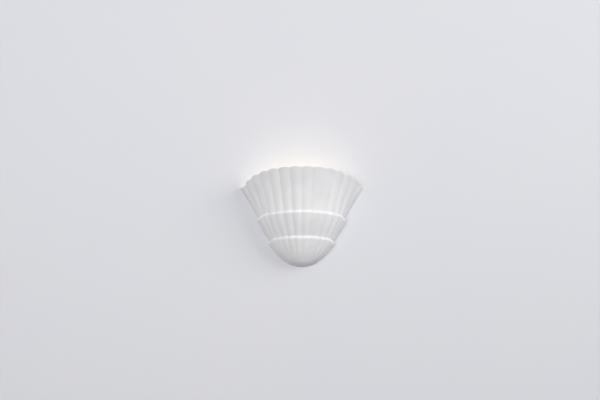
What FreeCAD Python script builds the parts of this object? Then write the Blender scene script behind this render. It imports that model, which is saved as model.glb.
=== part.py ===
"""Shell wall sconce: a fluted plaster shell in three tiers that hangs on a wall plate with one lamp.

Millimetres. +X is to the right seen from the room, +Z is up and the room is at -Y. The origin lies
on the wall, midway between the two fixing slots. Sizes named ..._HEIGHT on the shell are counted
from its lowest point, the tip, and level() turns them into Z.
"""
import FreeCAD, Part
import math
import os

V = FreeCAD.Vector
X, Y, Z = V(1, 0, 0), V(0, 1, 0), V(0, 0, 1)
ROOM = V(0, -1, 0)

# ---------------------------------------------------------------- sizes of the plaster shell
FIXING_HEIGHT = 110.0        # wall fixings above the tip
PAD_THICKNESS = 1.0          # felt pads between the shell and the wall

RIBS = 13                    # rib pitches from one wall corner to the other
PLAN_HALF_ANGLE = 70.0       # degrees that a horizontal section turns from the front to the wall

RIM_SIDE_HALF = 152.5        # half width at the wall
RIM_FRONT_HALF = 142.0       # half width that the ribs in front are spread over
RIM_DEPTH = 102.0            # front crest to the side edges of the fluted face
RIM_SIDE_HEIGHT = 195.5
RIM_FRONT_HEIGHT = 247.0
RIM_ARCH_POWER = 2.35        # over 2 is a squarer arch
RIM_SCALLOP = 3.5            # lobe of each rib above the valleys beside it
RIM_RELIEF = 3.8             # crest of a rib above its valleys

UPPER_LIP_SIDE_HALF = 110.3
UPPER_LIP_FRONT_HALF = 112.7
UPPER_LIP_DEPTH = 74.0
UPPER_LIP_SIDE_HEIGHT = 115.0
UPPER_LIP_FRONT_HEIGHT = 135.4
UPPER_LIP_RELIEF = 2.9

LOWER_LIP_SIDE_HALF = 82.1
LOWER_LIP_FRONT_HALF = 85.0
LOWER_LIP_DEPTH = 55.0
LOWER_LIP_SIDE_HEIGHT = 57.0
LOWER_LIP_FRONT_HEIGHT = 73.5
LOWER_LIP_RELIEF = 2.2

LIP_SETBACK = 3.5            # a tier starts this far behind the lip of the tier below
LIP_ROUND = 4.5              # height of the rounded lip
MIDDLE_CROWN = 1.2           # middle tier stands out from a straight taper
TOP_SWEEP_FRONT = 4.0        # top tier sweeps in from a straight taper, in front
TOP_SWEEP_SIDE = 1.2         # and at the wall
BOWL_POWER = 0.46            # under 0.5 is a blunter bowl
RIB_POWER = 0.8              # under 1 is a fuller rib with a narrower valley

BAND_WIDTH = 6.0             # bevelled band round the shell at the wall, seen from the front
BAND_DEPTH = 10.0            # the same band away from the wall
SHELL_WALL = 8.0

# ---------------------------------------------------------------- sizes of the hanging parts
PLATE_THICKNESS = 2.0
PLATE_HALF = 60.0
PLATE_TOP = 65.0
PLATE_SHOULDER = -12.0       # Z below which the plate narrows with the shell
PLATE_BOTTOM = -46.0
PLATE_CLEARANCE = 2.5        # foot of the plate to the shell as it is lifted off
PLATE_CORNER = 12.0
SLOT_SPACING = 88.9          # 3 1/2 in wall box
SLOT_WIDTH = 5.2
SLOT_LENGTH = 14.0

HOOK_SPACING = 76.0
HOOK_WIDTH = 10.0
HOOK_SHEET = 2.0
HOOK_BEND = 1.8
HOOK_CORNER = 3.0
HOOK_SEAT = 44.0             # Z at which the strap rests
HOOK_LIP = 12.0
HOOK_PLAY = 0.5              # strap to the lip of the hook
LIFT_SPARE = 2.0             # lift beyond the lip

STRAP_THICKNESS = 2.0
STRAP_HEIGHT = 20.0
STRAP_SPACE = 3.0            # plate to strap
STRAP_END_CLEARANCE = 2.0
STRAP_CORNER = 4.0
NOTCH_DEPTH = 3.0
NOTCH_CLEARANCE = 0.2

LUG_LENGTH = 24.0            # cast lug, from its free end to the tip of the strap
LUG_HEIGHT = 26.0
LUG_DEPTH = 23.0
INSERT_RADIUS = 3.0
INSERT_LENGTH = 10.0
INSERT_RELIEF = 1.0          # hole beyond the insert
M4 = 2.0                     # screw radii
M3 = 1.5
M2 = 1.0
HEAD_RATIO = 1.85            # pan head radius over screw radius
HEAD_HEIGHT = 2.2
SCREW_CLEARANCE = 0.05
FIT = 0.1                    # radial clearance of pieces that stay put

PAD_RADIUS = 5.0

# ---------------------------------------------------------------- sizes of the lamp parts
LAMP_DISTANCE = 34.0         # lamp axis from the wall
ARM_TOP = -16.0              # Z of the face that carries the lampholder
ARM_THICKNESS = 2.0
ARM_BEND = 2.0
ARM_FOOT_GAP = 2.0           # arm above the foot of the plate
ARM_SCREW_SPACING = 16.0
ARM_SCREW_DROP = 17.0        # arm screws below the top of the arm

BUSH_HOLE_RADIUS = 10.0
BUSH_BORE_RADIUS = 5.0
BUSH_RIM = 2.5               # flange outside its hole
BUSH_FLANGE = 2.0
BUSH_NOSE = 2.0
BUSH_CHAMFER = 1.5

NIPPLE_RADIUS = 5.0
NIPPLE_BORE = 3.9
NIPPLE_ABOVE = 6.0
NIPPLE_BELOW = 8.0
NUT_FLATS = 14.0
NUT_HEIGHT = 3.0
WASHER_RADIUS = 8.4
WASHER_HEIGHT = 1.0
TOOTH_SHARE = 0.13           # notches of a toothed washer over its radius

HOLDER_RADIUS = 14.0
HOLDER_WALL = 2.0
HOLDER_CAP_HEIGHT = 24.0
HOLDER_BASE = 5.0
HOLDER_HEIGHT = 56.0
HOLDER_CAP_ROUND = 3.0
HOLDER_RIM_ROUND = 1.5
SPIGOT_LENGTH = 5.0
TERMINAL_LEVEL = 16.0        # underside of the lampholder terminals above the arm
TERMINAL_HEIGHT = 5.0
TERMINAL_GAP = 1.0           # terminals to the wall of the spigot
TERMINAL_HALF_WIDTH = 2.5
TERMINAL_HALF_DEPTH = 3.0
TERMINAL_ROOF = 1.0          # metal above the wire in a terminal
TERMINAL_SCREW = 2.0         # screw above the underside of a terminal
TERMINAL_HEAD = 1.6
TERMINAL_HEAD_HEIGHT = 1.2
CONTACT_SHEET = 0.6
CONTACT_WIDTH = 4.0
RISER_WIDTH = 3.0
RIVET_X = -3.2
RIVET_RADIUS = 1.2
INSERT_DISC = 5.0
HOLDER_FLOOR = 4.0
SLEEVE_BORE = 6.3            # screw shell for a 12 mm lamp cap
SLEEVE_WALL = 0.6
SLEEVE_LENGTH = 20.0
SLEEVE_LIFT = 2.0            # sleeve above the floor of the lampholder
CONTACT_RISE = 3.5           # top of the leaf above the floor
LEAF_START = -0.5            # X at which the top of the leaf starts

THREAD_CLEARANCE = 0.35      # crests of the lamp cap to the sleeve
THREAD_DEPTH = 0.5
CAP_LENGTH = 18.0
CAP_PITCH = 2.54
CAP_WALL = 0.4
CAP_BOTTOM = 4.0             # heights on the lamp are above its lowest point
CAP_THREAD_START = 1.0       # plain ends of the cap
CREST_SHARE = 0.7            # rounded part of each pitch
CONTACT_GAP = 0.3
DOME_RADIUS = 3.0
DOME_HALF = 2.4
INSULATOR_TOP = 6.0
GLOBE_RADIUS = 22.5
LAMP_LENGTH = 78.0
GLASS_WALL = 1.0
GLASS_BOTTOM = 31.5
NECK_RADIUS = 11.5
NECK_ANGLE = -50.0           # degrees round the globe at which its neck starts
COLLAR_RIM = 1.0             # collar outside the neck of the glass
COLLAR_FOOT = 7.0
COLLAR_BORE = 3.5
COLLAR_FLARE = 6.0           # height in which the collar reaches its full radius
COLLAR_SPIGOT = 3.0
STEM_RADIUS = 2.2
STEM_HEIGHT = 11.0
STEM_FOOT = 6.0              # flared part of the stem
FILAMENTS = 4
FILAMENT_RING = 7.0
FILAMENT_RADIUS = 1.0
FILAMENT_LENGTH = 23.0
LEAD_RADIUS = 0.35

# ---------------------------------------------------------------- sizes of the wiring
WIRE_RADIUS = 1.05
WIRE_PITCH = 2.5             # between the two lamp wires in the nipple
SLEEVING_CLEARANCE = 0.2     # in the nipple
SLEEVING_WALL = 0.4
SLEEVING_BELOW = 6.0         # beyond the lower end of the nipple
SLEEVING_ABOVE = 1.0
BLOCK_LEFT = 30.0
BLOCK_TOP = -16.5
BLOCK_WIDTH = 17.0
BLOCK_DEPTH = 13.0
POLE_PITCH = 9.0
POLES = 3
BLOCK_ROUND = 1.2
BLOCK_NECK = 2.5             # depth of the cuts between two poles
BLOCK_CUT = 1.2
TUNNEL_RADIUS = 2.6
TUBE_SETBACK = 1.0
TUBE_BORE = 1.6
CLAMP_SCREW = 1.3
CLAMP_SCREW_INSET = 4.5
CLAMP_HEAD_DEPTH = 1.5
CLAMP_HEAD_RIM = 0.5
FIXING_SINK = 3.0            # head of the block's fixing screw below its face
WIRE_IN_BLOCK = 9.0
STUD_X = -34.0
STUD_Z = -30.0
STUD_LENGTH = 14.0
EARTH_WASHER_RADIUS = 4.5
EARTH_WASHER = 1.0
EARTH_NUT_FLATS = 7.0
EARTH_NUT = 3.2
LUG_SHEET = 0.8
LUG_RING = 4.2
LUG_NECK = 3.2
BARREL_RADIUS = 1.9
BARREL_START = 5.2           # crimp barrel from the axis of the stud
BARREL_LENGTH = 6.0
BARREL_END = 1.0             # closed end of the barrel

# ---------------------------------------------------------------- values that follow
ALPHA = math.radians(PLAN_HALF_ANGLE)
FACE_Y = -(PAD_THICKNESS + BAND_DEPTH)
CORNER_BLEND = 6             # how late the sides leave the spread of the front ribs
PLATE_FACE = -PLATE_THICKNESS
STRAP_BACK = PLATE_FACE - STRAP_SPACE
STRAP_FACE = STRAP_BACK - STRAP_THICKNESS
STRAP_BOTTOM = HOOK_SEAT - NOTCH_DEPTH
STRAP_TOP = STRAP_BOTTOM + STRAP_HEIGHT
STRAP_MIDDLE = (STRAP_BOTTOM + STRAP_TOP) / 2
LIFT = HOOK_LIP + LIFT_SPARE
LAMP_AXIS = V(0, -LAMP_DISTANCE, 0)
POLE_LEVELS = [BLOCK_TOP - POLE_PITCH * (i + 0.5) for i in range(POLES)]


def level(height):
    """Z of a height above the tip."""
    return height - FIXING_HEIGHT


# ---------------------------------------------------------------- plain shapes
def box(x0, x1, y0, y1, z0, z1):
    return Part.makeBox(x1 - x0, y1 - y0, z1 - z0, V(x0, y0, z0))


def rod(start, direction, radius, length):
    return Part.makeCylinder(radius, length, start, direction)


def tube(start, direction, outer, bore, length):
    return rod(start, direction, outer, length).cut(rod(start, direction, bore, length))


def hexagon(start, direction, flats, height):
    """Hexagonal prism round the line from start along direction."""
    across = X if abs(direction.x) < 0.5 else Y
    other = direction.cross(across)
    radius = flats / math.sqrt(3)
    turns = [math.radians(60 * i) for i in range(7)]
    corners = [start + across * (radius * math.cos(a)) + other * (radius * math.sin(a)) for a in turns]
    return Part.Face(Part.makePolygon(corners)).extrude(direction * height)


def spun(points, axis_point):
    """Solid of revolution about a vertical line, from (radius, z) corners and three-point arcs.

    An entry of two numbers is a corner. An entry of four is an arc's middle and its end.
    """
    place = [V(p[-2], 0, p[-1]) for p in points]
    edges = []
    for i, entry in enumerate(points):
        start = place[i - 1]
        if len(entry) == 4:
            edges.append(Part.Arc(start, V(entry[0], 0, entry[1]), place[i]).toShape())
        elif (start - place[i]).Length > 1e-6:
            edges.append(Part.LineSegment(start, place[i]).toShape())
    face = Part.Face(Part.Wire(Part.__sortEdges__(edges)))
    solid = face.revolve(V(0, 0, 0), Z, 360)
    solid.translate(axis_point)
    return solid


def pan_head_screw(seat, direction, radius, length, slot=0.8):
    """Screw with its head on seat; direction points from the head to the tip."""
    head = radius * HEAD_RATIO
    screw = rod(seat - direction * HEAD_HEIGHT, direction, head, HEAD_HEIGHT)
    edges = [e for e in screw.Edges if e.BoundBox.Center.isEqual(seat - direction * HEAD_HEIGHT, 0.01)]
    screw = screw.makeFillet(HEAD_HEIGHT * 0.4, edges)
    screw = screw.fuse(rod(seat, direction, radius - SCREW_CLEARANCE, length))
    across = X if abs(direction.x) < 0.5 else Y
    for turn in (0, 90):
        blade = box(-head * 0.6, head * 0.6, -slot / 2, slot / 2, 0, HEAD_HEIGHT * 0.6)
        blade.rotate(V(0, 0, 0), Z, turn)
        frame = FreeCAD.Rotation(across, direction.cross(across), direction)
        blade.Placement = FreeCAD.Placement(seat - direction * HEAD_HEIGHT, frame).multiply(blade.Placement)
        screw = screw.cut(blade)
    return screw


def joined(shapes):
    return shapes[0].fuse(shapes[1:]).removeSplitter() if len(shapes) > 1 else shapes[0]


def wire_through(points, radius):
    """Round wire along straight runs joined by tangent arcs, each as large as its runs allow."""
    edges = []
    radii = []
    start = points[0]
    for before, corner, after in zip(points, points[1:], points[2:]):
        back, ahead = (before - corner), (after - corner)
        half_turn = (math.pi - back.getAngle(ahead)) / 2
        trim = 0.45 * min(back.Length, ahead.Length)
        back.normalize()
        ahead.normalize()
        first, last = corner + back * trim, corner + ahead * trim
        bend = trim / math.tan(half_turn)
        centre_way = (back + ahead).normalize()
        middle = corner + centre_way * (bend / math.cos(half_turn) - bend)
        edges += [Part.LineSegment(start, first).toShape(), Part.Arc(first, middle, last).toShape()]
        radii.append(bend)
        start = last
    edges.append(Part.LineSegment(start, points[-1]).toShape())
    path = Part.Wire(edges)
    section = Part.Wire(Part.makeCircle(radius, points[0], points[1] - points[0]))
    solid = path.makePipeShell([section], True, False)
    expected = math.pi * radius ** 2 * path.Length
    print("wire: bends", ["%.1f" % r for r in radii], "mm, volume over section x length %.4f"
          % (solid.Volume / expected))
    return solid


# ---------------------------------------------------------------- surface of the shell
def front_share(s):
    """1 at the middle of the front and 0 at the side edges; s runs from -1 to 1."""
    return (math.cos(ALPHA * s) - math.cos(ALPHA)) / (1 - math.cos(ALPHA))


def outward(s):
    """Direction in plan in which the shell faces at s."""
    return V(math.sin(ALPHA * s), -math.cos(ALPHA * s), 0)


def rib(s):
    """0 in a valley and 1 on the crest of a rib."""
    return abs(math.sin(math.pi * RIBS * s / 2)) ** RIB_POWER


def band_direction(height):
    """Direction of the edge band in the front view: down at the tip and level at the rim."""
    share = (height - BAND_WIDTH) / (RIM_SIDE_HEIGHT - BAND_WIDTH)
    turn = math.radians(90) * min(1.0, max(0.0, share)) ** 0.3
    return V(math.sin(turn), 0, -math.cos(turn))


def feature_line(side_half, front_half, depth, side_height, front_height, relief,
                 rise_share=front_share):
    """Curve round the shell, such as a lip: a function of s that gives its points in the valleys.

    The half width at the wall and the depth in front are those of the crests.
    """
    band = band_direction(side_height) * BAND_WIDTH
    edge_half = side_half - band.x - relief * math.sin(ALPHA)
    edge_height = side_height - band.z
    valley_depth = depth - relief

    def point(s):
        sweep = math.sin(ALPHA * s) / math.sin(ALPHA)
        x = front_half * sweep + (edge_half - front_half) * math.copysign(abs(s) ** CORNER_BLEND, s)
        height = edge_height + (front_height - edge_height) * rise_share(s)
        return V(x, FACE_Y - valley_depth * front_share(s), level(height))

    return point


def rim_arch(s):
    return 1 - abs(s) ** RIM_ARCH_POWER


TIP = V(0, FACE_Y, level(BAND_WIDTH))
rim_line = feature_line(RIM_SIDE_HALF, RIM_FRONT_HALF, RIM_DEPTH,
                        RIM_SIDE_HEIGHT, RIM_FRONT_HEIGHT, RIM_RELIEF, rim_arch)
upper_lip = feature_line(UPPER_LIP_SIDE_HALF, UPPER_LIP_FRONT_HALF, UPPER_LIP_DEPTH,
                         UPPER_LIP_SIDE_HEIGHT, UPPER_LIP_FRONT_HEIGHT, UPPER_LIP_RELIEF)
lower_lip = feature_line(LOWER_LIP_SIDE_HALF, LOWER_LIP_FRONT_HALF, LOWER_LIP_DEPTH,
                         LOWER_LIP_SIDE_HEIGHT, LOWER_LIP_FRONT_HEIGHT, LOWER_LIP_RELIEF)


def above_lip(lip):
    """Crease in which the next tier starts, behind and above a lip."""
    return lambda s: lip(s) - outward(s) * LIP_SETBACK + Z * LIP_ROUND


upper_crease = above_lip(upper_lip)
lower_crease = above_lip(lower_lip)


def bowl(end):
    """Surface from the tip to a feature line: t runs from 0 to 1."""
    def point(s, t):
        last = end(s)
        spread = t ** (2 * BOWL_POWER)
        y = FACE_Y + (last.y - FACE_Y) * spread
        return V(last.x * spread, y, TIP.z + (last.z - TIP.z) * t * t)
    return point


def taper(start, end, crown_front, crown_side):
    """Surface between two feature lines that stands out by its crown halfway up."""
    def point(s, t):
        crown = crown_side + (crown_front - crown_side) * front_share(s)
        return start(s) * (1 - t) + end(s) * t + outward(s) * (crown * 4 * t * (1 - t))
    return point


def fluted(surface, start_relief, end_relief, scallop=0.0):
    """The same surface with its ribs, and with lobes where it ends."""
    def point(s, t):
        relief = (start_relief + (end_relief - start_relief) * t) * rib(s)
        return surface(s, t) + outward(s) * relief - Z * (scallop * (1 - rib(s)) * t)
    return point


# ---------------------------------------------------------------- faces of the shell
POLES_PER_RIB = 8
FLUTE_STEPS = [i / (RIBS * POLES_PER_RIB / 2) - 1 for i in range(RIBS * POLES_PER_RIB + 1)]
SMOOTH_STEPS = [i / 8 - 1 for i in range(17)]


def clamped(poles, degree):
    """Knots and multiplicities of an even spline that ends on its last poles."""
    spans = poles - degree
    return list(range(spans + 1)), [degree + 1] + [1] * (spans - 1) + [degree + 1]


def patch(grid, row_degree, column_degree=3):
    u_knots, u_mults = clamped(len(grid), row_degree)
    v_knots, v_mults = clamped(len(grid[0]), column_degree)
    surface = Part.BSplineSurface()
    surface.buildFromPolesMultsKnots(grid, u_mults, v_mults, u_knots, v_knots,
                                     False, False, row_degree, column_degree)
    return surface.toShape()


def spline(poles, degree):
    knots, mults = clamped(len(poles), degree)
    curve = Part.BSplineCurve()
    curve.buildFromPolesMultsKnots(poles, mults, knots, False, degree)
    return curve.toShape()


def grid_of(surface, rows):
    return [[surface(s, i / (rows - 1)) for s in FLUTE_STEPS] for i in range(rows)]


def lip_grid(below, above):
    """Rounded lip between the last row of one tier and the first row of the next."""
    return [below, [V(a.x, a.y, b.z) for a, b in zip(below, above)], above]


def on_wall(pole):
    """Where the edge band that leaves the fluted face at this pole meets the shell's back."""
    step = band_direction(pole.z + FIXING_HEIGHT) * BAND_WIDTH
    return V(pole.x + math.copysign(step.x, pole.x), -PAD_THICKNESS, pole.z + step.z)


def straight_back(pole):
    return V(pole.x, -PAD_THICKNESS, pole.z)


def inset(surface, s, t, depth):
    """Point that lies this depth inside a surface."""
    step = 1e-4
    t0, s0 = max(t - step, step), min(max(s, step - 1), 1 - step)
    along = surface(s0 + step, t) - surface(s0 - step, t)
    up = surface(s, t0 + step) - surface(s, t0 - step)
    return surface(s, t) - along.cross(up).normalize() * depth


def inner_rows(depth):
    """Poles of the smooth inside of the shell, this deep under its valleys."""
    low = bowl(lower_crease)
    middle = taper(lower_crease, upper_crease, 0, 0)
    top = taper(upper_crease, rim_line, -TOP_SWEEP_FRONT, -TOP_SWEEP_SIDE)
    stations = [(low, 0.2), (low, 0.4), (low, 0.6), (low, 0.8), (low, 0.97), (middle, 0.5)]
    stations += [(middle, 0.97), (top, 0.35), (top, 0.7)]
    rows = [[TIP + Z * depth for s in SMOOTH_STEPS]]
    rows += [[inset(surface, s, t, depth) for s in SMOOTH_STEPS] for surface, t in stations]
    rows.append([rim_line(s) - outward(s) * depth - Z * RIM_SCALLOP for s in SMOOTH_STEPS])
    return rows


def side_faces(grid, row_degree, to_back):
    """Left and right faces that run from the sides of a patch to the back of the shell."""
    faces, back_edges = [], []
    for column in (0, -1):
        edge = [row[column] for row in grid]
        back = [to_back(pole) for pole in edge]
        faces.append(patch([edge, back], 1, row_degree))
        back_edges.append(spline(back, row_degree))
    return faces, back_edges


def shell_body():
    bowl_grid = grid_of(fluted(bowl(lower_lip), 0, LOWER_LIP_RELIEF), 9)
    middle_grid = grid_of(fluted(taper(lower_crease, upper_lip, MIDDLE_CROWN, MIDDLE_CROWN),
                                 LOWER_LIP_RELIEF, UPPER_LIP_RELIEF), 5)
    top_grid = grid_of(fluted(taper(upper_crease, rim_line, -TOP_SWEEP_FRONT, -TOP_SWEEP_SIDE),
                              UPPER_LIP_RELIEF, RIM_RELIEF, RIM_SCALLOP), 7)
    lower_round = lip_grid(bowl_grid[-1], middle_grid[0])
    upper_round = lip_grid(middle_grid[-1], top_grid[0])
    inside = inner_rows(SHELL_WALL)

    faces, outline = [], []
    for grid, degree in ((bowl_grid, 3), (lower_round, 2), (middle_grid, 3), (upper_round, 2), (top_grid, 3)):
        faces.append(patch(grid, degree))
        sides, edges = side_faces(grid, degree, on_wall)
        faces += sides
        outline += edges
    faces.append(patch(inside, 3))
    sides, edges = side_faces(inside, 3, straight_back)
    faces += sides
    outline += edges
    faces.append(Part.makeRuledSurface(spline(top_grid[-1], 3), spline(inside[-1], 3)))
    for column in (0, -1):
        outer, inner = top_grid[-1][column], inside[-1][column]
        outer_back, inner_back = on_wall(outer), straight_back(inner)
        across = Part.LineSegment(outer, outer_back).toShape()
        faces.append(Part.makeRuledSurface(across, Part.LineSegment(inner, inner_back).toShape()))
        outline.append(Part.LineSegment(outer_back, inner_back).toShape())
    faces.append(Part.Face(Part.Wire(Part.__sortEdges__(outline))))
    shell = Part.makeShell(faces)
    shell.sewShape()
    return Part.makeSolid(shell)



# ---------------------------------------------------------------- places inside the shell
def solved(value_at, low, high, target):
    """Place between low and high at which a rising value reaches the target."""
    for _ in range(40):
        middle = (low + high) / 2
        if value_at(middle) < target:
            low = middle
        else:
            high = middle
    return (low + high) / 2


TIERS = (bowl(lower_crease), taper(lower_crease, upper_crease, 0, 0),
         taper(upper_crease, rim_line, -TOP_SWEEP_FRONT, -TOP_SWEEP_SIDE))


def skin_at(z, s, depth):
    """Point at this level and this depth inside the valleys of the shell."""
    for surface in TIERS:
        t = solved(lambda t: inset(surface, s, t, depth).z, 0.02, 1.0, z)
        if t < 0.999:
            break
    return inset(surface, s, t, depth)


def skin_at_distance(z, distance, depth):
    """The same, on the right-hand side, where the skin is this far from the wall."""
    s = solved(lambda s: skin_at(z, s, depth).y, 0.3, 1.0, -distance)
    return skin_at(z, s, depth)


PLATE_FOOT_HALF = skin_at(PLATE_BOTTOM - LIFT, 1, SHELL_WALL).x - PLATE_CLEARANCE
STRAP_HALF = skin_at(STRAP_BOTTOM, 1, SHELL_WALL).x - STRAP_END_CLEARANCE
LUG_INNER = STRAP_HALF - LUG_LENGTH
STRAP_SCREW_X = STRAP_HALF - LUG_LENGTH / 2


# ---------------------------------------------------------------- shell and what hangs with it
def lug():
    """Cast lug on the right-hand wall that carries one end of the strap."""
    outlines = []
    front = STRAP_FACE - LUG_DEPTH
    for z in (STRAP_MIDDLE - LUG_HEIGHT / 2, STRAP_MIDDLE + LUG_HEIGHT / 2):
        side = skin_at(z, 1, SHELL_WALL / 2).x
        corner = skin_at_distance(z, -front, SHELL_WALL / 2).x
        plan = [(LUG_INNER, STRAP_FACE), (side, STRAP_FACE), (side, FACE_Y), (corner, front),
                (LUG_INNER, front)]
        points = [V(x, y, z) for x, y in plan]
        outlines.append(Part.makePolygon(points + points[:1]))
    return Part.makeLoft(outlines, True, True)


def mirrored(shape):
    return shape.mirror(V(0, 0, 0), X)


def strap_screw_seats(y):
    return [V(side * STRAP_SCREW_X, y, STRAP_MIDDLE) for side in (-1, 1)]


def shell():
    right = lug()
    body = shell_body().fuse([right, mirrored(right)])
    sockets = [rod(seat, ROOM, INSERT_RADIUS, INSERT_LENGTH + INSERT_RELIEF)
               for seat in strap_screw_seats(STRAP_FACE)]
    return body.cut(sockets)


def strap_inserts():
    return [tube(seat, ROOM, INSERT_RADIUS - SCREW_CLEARANCE, M4, INSERT_LENGTH)
            for seat in strap_screw_seats(STRAP_FACE)]


def strap_screws():
    return [pan_head_screw(seat, ROOM, M4, STRAP_THICKNESS + INSERT_LENGTH)
            for seat in strap_screw_seats(STRAP_BACK)]


def hanging_strap():
    bar = box(-STRAP_HALF, STRAP_HALF, STRAP_FACE, STRAP_BACK, STRAP_BOTTOM, STRAP_TOP)
    bar = bar.makeFillet(STRAP_CORNER, [e for e in bar.Edges if e.Length < STRAP_THICKNESS + 0.01])
    notch = HOOK_WIDTH / 2 + NOTCH_CLEARANCE
    cuts = [box(x - notch, x + notch, STRAP_FACE, STRAP_BACK, STRAP_BOTTOM, HOOK_SEAT)
            for x in hook_places()]
    cuts += [rod(seat, ROOM, M4 + FIT, STRAP_THICKNESS) for seat in strap_screw_seats(STRAP_BACK)]
    return bar.cut(cuts)


def wall_pads():
    """Felt discs on the back of the shell, two at the rim and two beside the tip."""
    pads = []
    for surface, t in ((TIERS[2], 0.85), (TIERS[0], 0.62)):
        for s in (-1, 1):
            centre = inset(surface, s, t, (SHELL_WALL - BAND_WIDTH) / 2)
            pads.append(rod(V(centre.x, -PAD_THICKNESS, centre.z), Y, PAD_RADIUS, PAD_THICKNESS))
    return pads


# ---------------------------------------------------------------- wall plate and what it carries
def hook_places():
    return (-HOOK_SPACING / 2, HOOK_SPACING / 2)


def hook(x):
    """Tab bent out of the plate and up in front of the strap."""
    half = HOOK_WIDTH / 2
    back = STRAP_FACE - HOOK_PLAY
    front = back - HOOK_SHEET
    seat = box(x - half, x + half, front, PLATE_FACE, HOOK_SEAT - HOOK_SHEET, HOOK_SEAT)
    lip = box(x - half, x + half, front, back, HOOK_SEAT - HOOK_SHEET, HOOK_SEAT + HOOK_LIP)
    tab = joined([seat, lip])
    bend = [e for e in tab.Edges if e.BoundBox.Center.isEqual(V(x, front, HOOK_SEAT - HOOK_SHEET), 0.01)]
    tab = tab.makeFillet(HOOK_BEND, bend)
    top = HOOK_SEAT + HOOK_LIP
    corners = [e for e in tab.Edges if abs(e.BoundBox.ZMin - top) < 0.01 and e.BoundBox.YLength > 1
               and e.BoundBox.XLength < 0.01]
    return tab.makeFillet(HOOK_CORNER, corners)


def slot_hole(x):
    """Level slot through the plate."""
    radius = SLOT_WIDTH / 2
    run = SLOT_LENGTH / 2 - radius
    middle = box(x - run, x + run, -PLATE_THICKNESS, 0, -radius, radius)
    ends = [rod(V(x + side * run, 0, 0), ROOM, radius, PLATE_THICKNESS) for side in (-1, 1)]
    return joined([middle] + ends)


def arm_screw_seats(y):
    return [V(side * ARM_SCREW_SPACING / 2, y, ARM_TOP - ARM_SCREW_DROP) for side in (-1, 1)]


def block_fixing(y):
    return V(BLOCK_LEFT + BLOCK_WIDTH / 2, y, POLE_LEVELS[0] - POLE_PITCH / 2)


def wall_plate():
    right = [(PLATE_HALF, PLATE_TOP), (PLATE_HALF, PLATE_SHOULDER), (PLATE_FOOT_HALF, PLATE_BOTTOM)]
    outline = [V(x, 0, z) for x, z in right] + [V(-x, 0, z) for x, z in reversed(right)]
    plate = Part.Face(Part.makePolygon(outline + outline[:1])).extrude(ROOM * PLATE_THICKNESS)
    plate = plate.makeFillet(PLATE_CORNER, [e for e in plate.Edges if e.Length < PLATE_THICKNESS + 0.01])
    cuts = [slot_hole(side * SLOT_SPACING / 2) for side in (-1, 1)]
    cuts.append(rod(V(0, 0, 0), ROOM, BUSH_HOLE_RADIUS, PLATE_THICKNESS))
    cuts.append(rod(V(STUD_X, 0, STUD_Z), ROOM, M4, PLATE_THICKNESS))
    cuts.append(rod(block_fixing(0), ROOM, M3, PLATE_THICKNESS))
    cuts += [rod(seat, ROOM, M4, PLATE_THICKNESS) for seat in arm_screw_seats(0)]
    half = HOOK_WIDTH / 2
    cuts += [box(x - half, x + half, -PLATE_THICKNESS, 0, HOOK_SEAT, HOOK_SEAT + HOOK_LIP)
             for x in hook_places()]
    return joined([plate.cut(cuts)] + [hook(x) for x in hook_places()])


def cable_bush():
    """Plastic bush that lines the cable hole; its back is flush with the plate."""
    rim = BUSH_HOLE_RADIUS + BUSH_RIM
    depth = PLATE_THICKNESS + BUSH_FLANGE + BUSH_NOSE
    barrel = rod(V(0, 0, 0), ROOM, BUSH_HOLE_RADIUS - FIT, PLATE_THICKNESS)
    flange = rod(V(0, PLATE_FACE, 0), ROOM, rim, BUSH_FLANGE)
    nose = Part.makeCone(rim - BUSH_CHAMFER, BUSH_BORE_RADIUS + BUSH_CHAMFER, BUSH_NOSE,
                         V(0, PLATE_FACE - BUSH_FLANGE, 0), ROOM)
    return joined([barrel, flange, nose]).cut(rod(V(0, 0, 0), ROOM, BUSH_BORE_RADIUS, depth))


def lamp_arm():
    """Bent strip that is screwed to the plate and carries the lampholder."""
    half = HOLDER_RADIUS
    under = ARM_TOP - ARM_THICKNESS
    flange = box(-half, half, PLATE_FACE - ARM_THICKNESS, PLATE_FACE,
                 PLATE_BOTTOM + ARM_FOOT_GAP, ARM_TOP)
    leg = box(-half, half, -LAMP_DISTANCE, PLATE_FACE, under, ARM_TOP)
    end = rod(LAMP_AXIS + Z * under, Z, half, ARM_THICKNESS)
    arm = joined([flange, leg, end])
    corners = ((V(0, PLATE_FACE, ARM_TOP), ARM_BEND + ARM_THICKNESS),
               (V(0, PLATE_FACE - ARM_THICKNESS, under), ARM_BEND))
    for corner, radius in corners:
        arm = arm.makeFillet(radius, [e for e in arm.Edges if e.BoundBox.Center.isEqual(corner, 0.01)])
    cuts = [rod(LAMP_AXIS + Z * under, Z, NIPPLE_RADIUS + FIT, ARM_THICKNESS)]
    cuts += [rod(seat, ROOM, M4 + FIT, ARM_THICKNESS) for seat in arm_screw_seats(PLATE_FACE)]
    return arm.cut(cuts)


def arm_screws():
    return [pan_head_screw(seat, Y, M4, ARM_THICKNESS + PLATE_THICKNESS)
            for seat in arm_screw_seats(PLATE_FACE - ARM_THICKNESS)]


# ---------------------------------------------------------------- lampholder
def above_arm(height):
    return LAMP_AXIS + Z * (ARM_TOP + height)


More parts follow.
